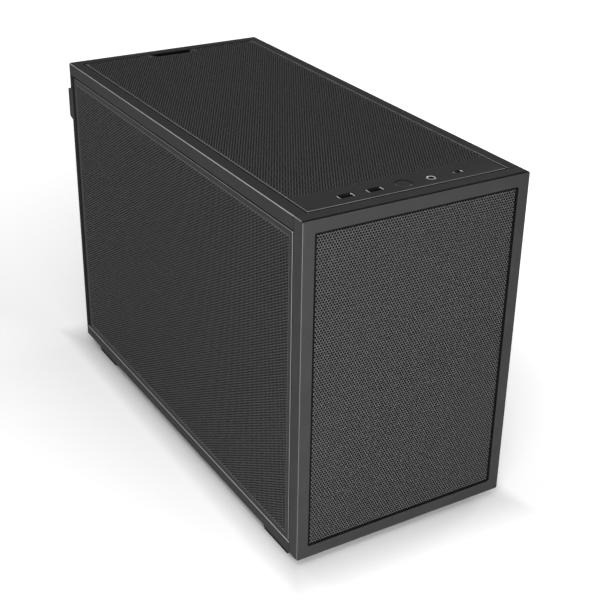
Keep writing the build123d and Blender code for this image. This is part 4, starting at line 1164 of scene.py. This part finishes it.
def build_stage():
    """A pale floor that is white to the camera and keeps a soft shadow."""
    material, tree, shader, vector = new_material("floor_paint")
    shader.inputs["Base Color"].default_value = (0.86, 0.86, 0.86, 1.0)
    shader.inputs["Roughness"].default_value = 0.9
    shader.inputs["Specular IOR Level"].default_value = 0.1
    shader.inputs["Emission Color"].default_value = (1.0, 1.0, 1.0, 1.0)
    stretch = tree.nodes.new("ShaderNodeMapping")
    stretch.inputs["Scale"].default_value = (1 / FOOTPRINT[0], 1 / FOOTPRINT[1], 0.0)
    tree.links.new(vector, stretch.inputs["Vector"])
    parts = tree.nodes.new("ShaderNodeSeparateXYZ")
    tree.links.new(stretch.outputs["Vector"], parts.inputs["Vector"])
    sides = [math_node(tree, "ABSOLUTE", parts.outputs[axis]) for axis in "XY"]
    away = math_node(tree, "MAXIMUM", *sides)
    glows = [map_range(tree, away, *reach, 0.0, glow) for *reach, glow in (NEAR_GLOW, FAR_GLOW)]
    glow = math_node(tree, "ADD", *glows)
    seen = math_node(tree, "MULTIPLY", seen_directly(tree, FLOOR_GLOSS_SHARE), glow)
    tree.links.new(seen, shader.inputs["Emission Strength"])
    corners = [(u, v, 0.0) for u, v in rectangle((-FLOOR_REACH,) * 2, (FLOOR_REACH,) * 2)]
    floor = mesh_object("floor", corners, [(0, 1, 2, 3)], material)


def build_world():
    """Even soft light, with a white horizon and a darker ceiling where they are seen."""
    world = bpy.data.worlds.new("studio")
    world.use_nodes = True
    tree = world.node_tree
    tree.nodes.clear()
    output = tree.nodes.new("ShaderNodeOutputWorld")
    ambient = tree.nodes.new("ShaderNodeBackground")
    ambient.inputs["Color"].default_value = (1.0, 1.0, 1.0, 1.0)
    ambient.inputs["Strength"].default_value = AMBIENT
    white = tree.nodes.new("ShaderNodeBackground")
    white.inputs["Color"].default_value = (1.0, 1.0, 1.0, 1.0)
    coordinates = tree.nodes.new("ShaderNodeTexCoord")
    direction = tree.nodes.new("ShaderNodeSeparateXYZ")
    tree.links.new(coordinates.outputs["Generated"], direction.inputs["Vector"])
    fall = map_range(tree, direction.outputs["Z"], 0.0, CEILING_START, HORIZON, CEILING)
    tree.links.new(fall, white.inputs["Strength"])
    mix = tree.nodes.new("ShaderNodeMixShader")
    tree.links.new(seen_directly(tree, WORLD_GLOSS_SHARE), mix.inputs["Fac"])
    tree.links.new(ambient.outputs[0], mix.inputs[1])
    tree.links.new(white.outputs[0], mix.inputs[2])
    tree.links.new(mix.outputs[0], output.inputs["Surface"])
    bpy.context.scene.world = world


def add_softbox(name, place, target, size, power):
    """A square lamp at place that faces the target."""
    lamp = bpy.data.lights.new(name, "AREA")
    lamp.size = size
    lamp.energy = power
    holder = bpy.data.objects.new(name, lamp)
    holder.location = place
    holder.visible_camera = False
    holder.rotation_euler = (Vector(target) - Vector(place)).to_track_quat("-Z", "Y").to_euler()
    bpy.context.scene.collection.objects.link(holder)


def aim_camera():
    """The scene's camera, at its eye point, turned to its target and rolled a little."""
    eye = Vector(CAMERA_EYE)
    forward = (Vector(CAMERA_TARGET) - eye).normalized()
    level = forward.cross(Vector((0, 0, 1))).normalized()
    upright = level.cross(forward)
    right = level * math.cos(CAMERA_ROLL) + upright * math.sin(CAMERA_ROLL)
    up = right.cross(forward)
    data = bpy.data.cameras.new("camera")
    data.lens = CAMERA_LENS
    data.sensor_width = SENSOR_WIDTH
    camera = bpy.data.objects.new("camera", data)
    turned = Matrix((right, up, -forward)).transposed().to_4x4()
    camera.matrix_world = Matrix.Translation(eye) @ turned
    bpy.context.scene.collection.objects.link(camera)
    bpy.context.scene.camera = camera


build_stage()
build_world()
for softbox, (place, target, size, power) in SOFTBOXES.items():
    add_softbox(softbox, place, target, size, power)
aim_camera()
bpy.context.scene.view_settings.view_transform = "Standard"
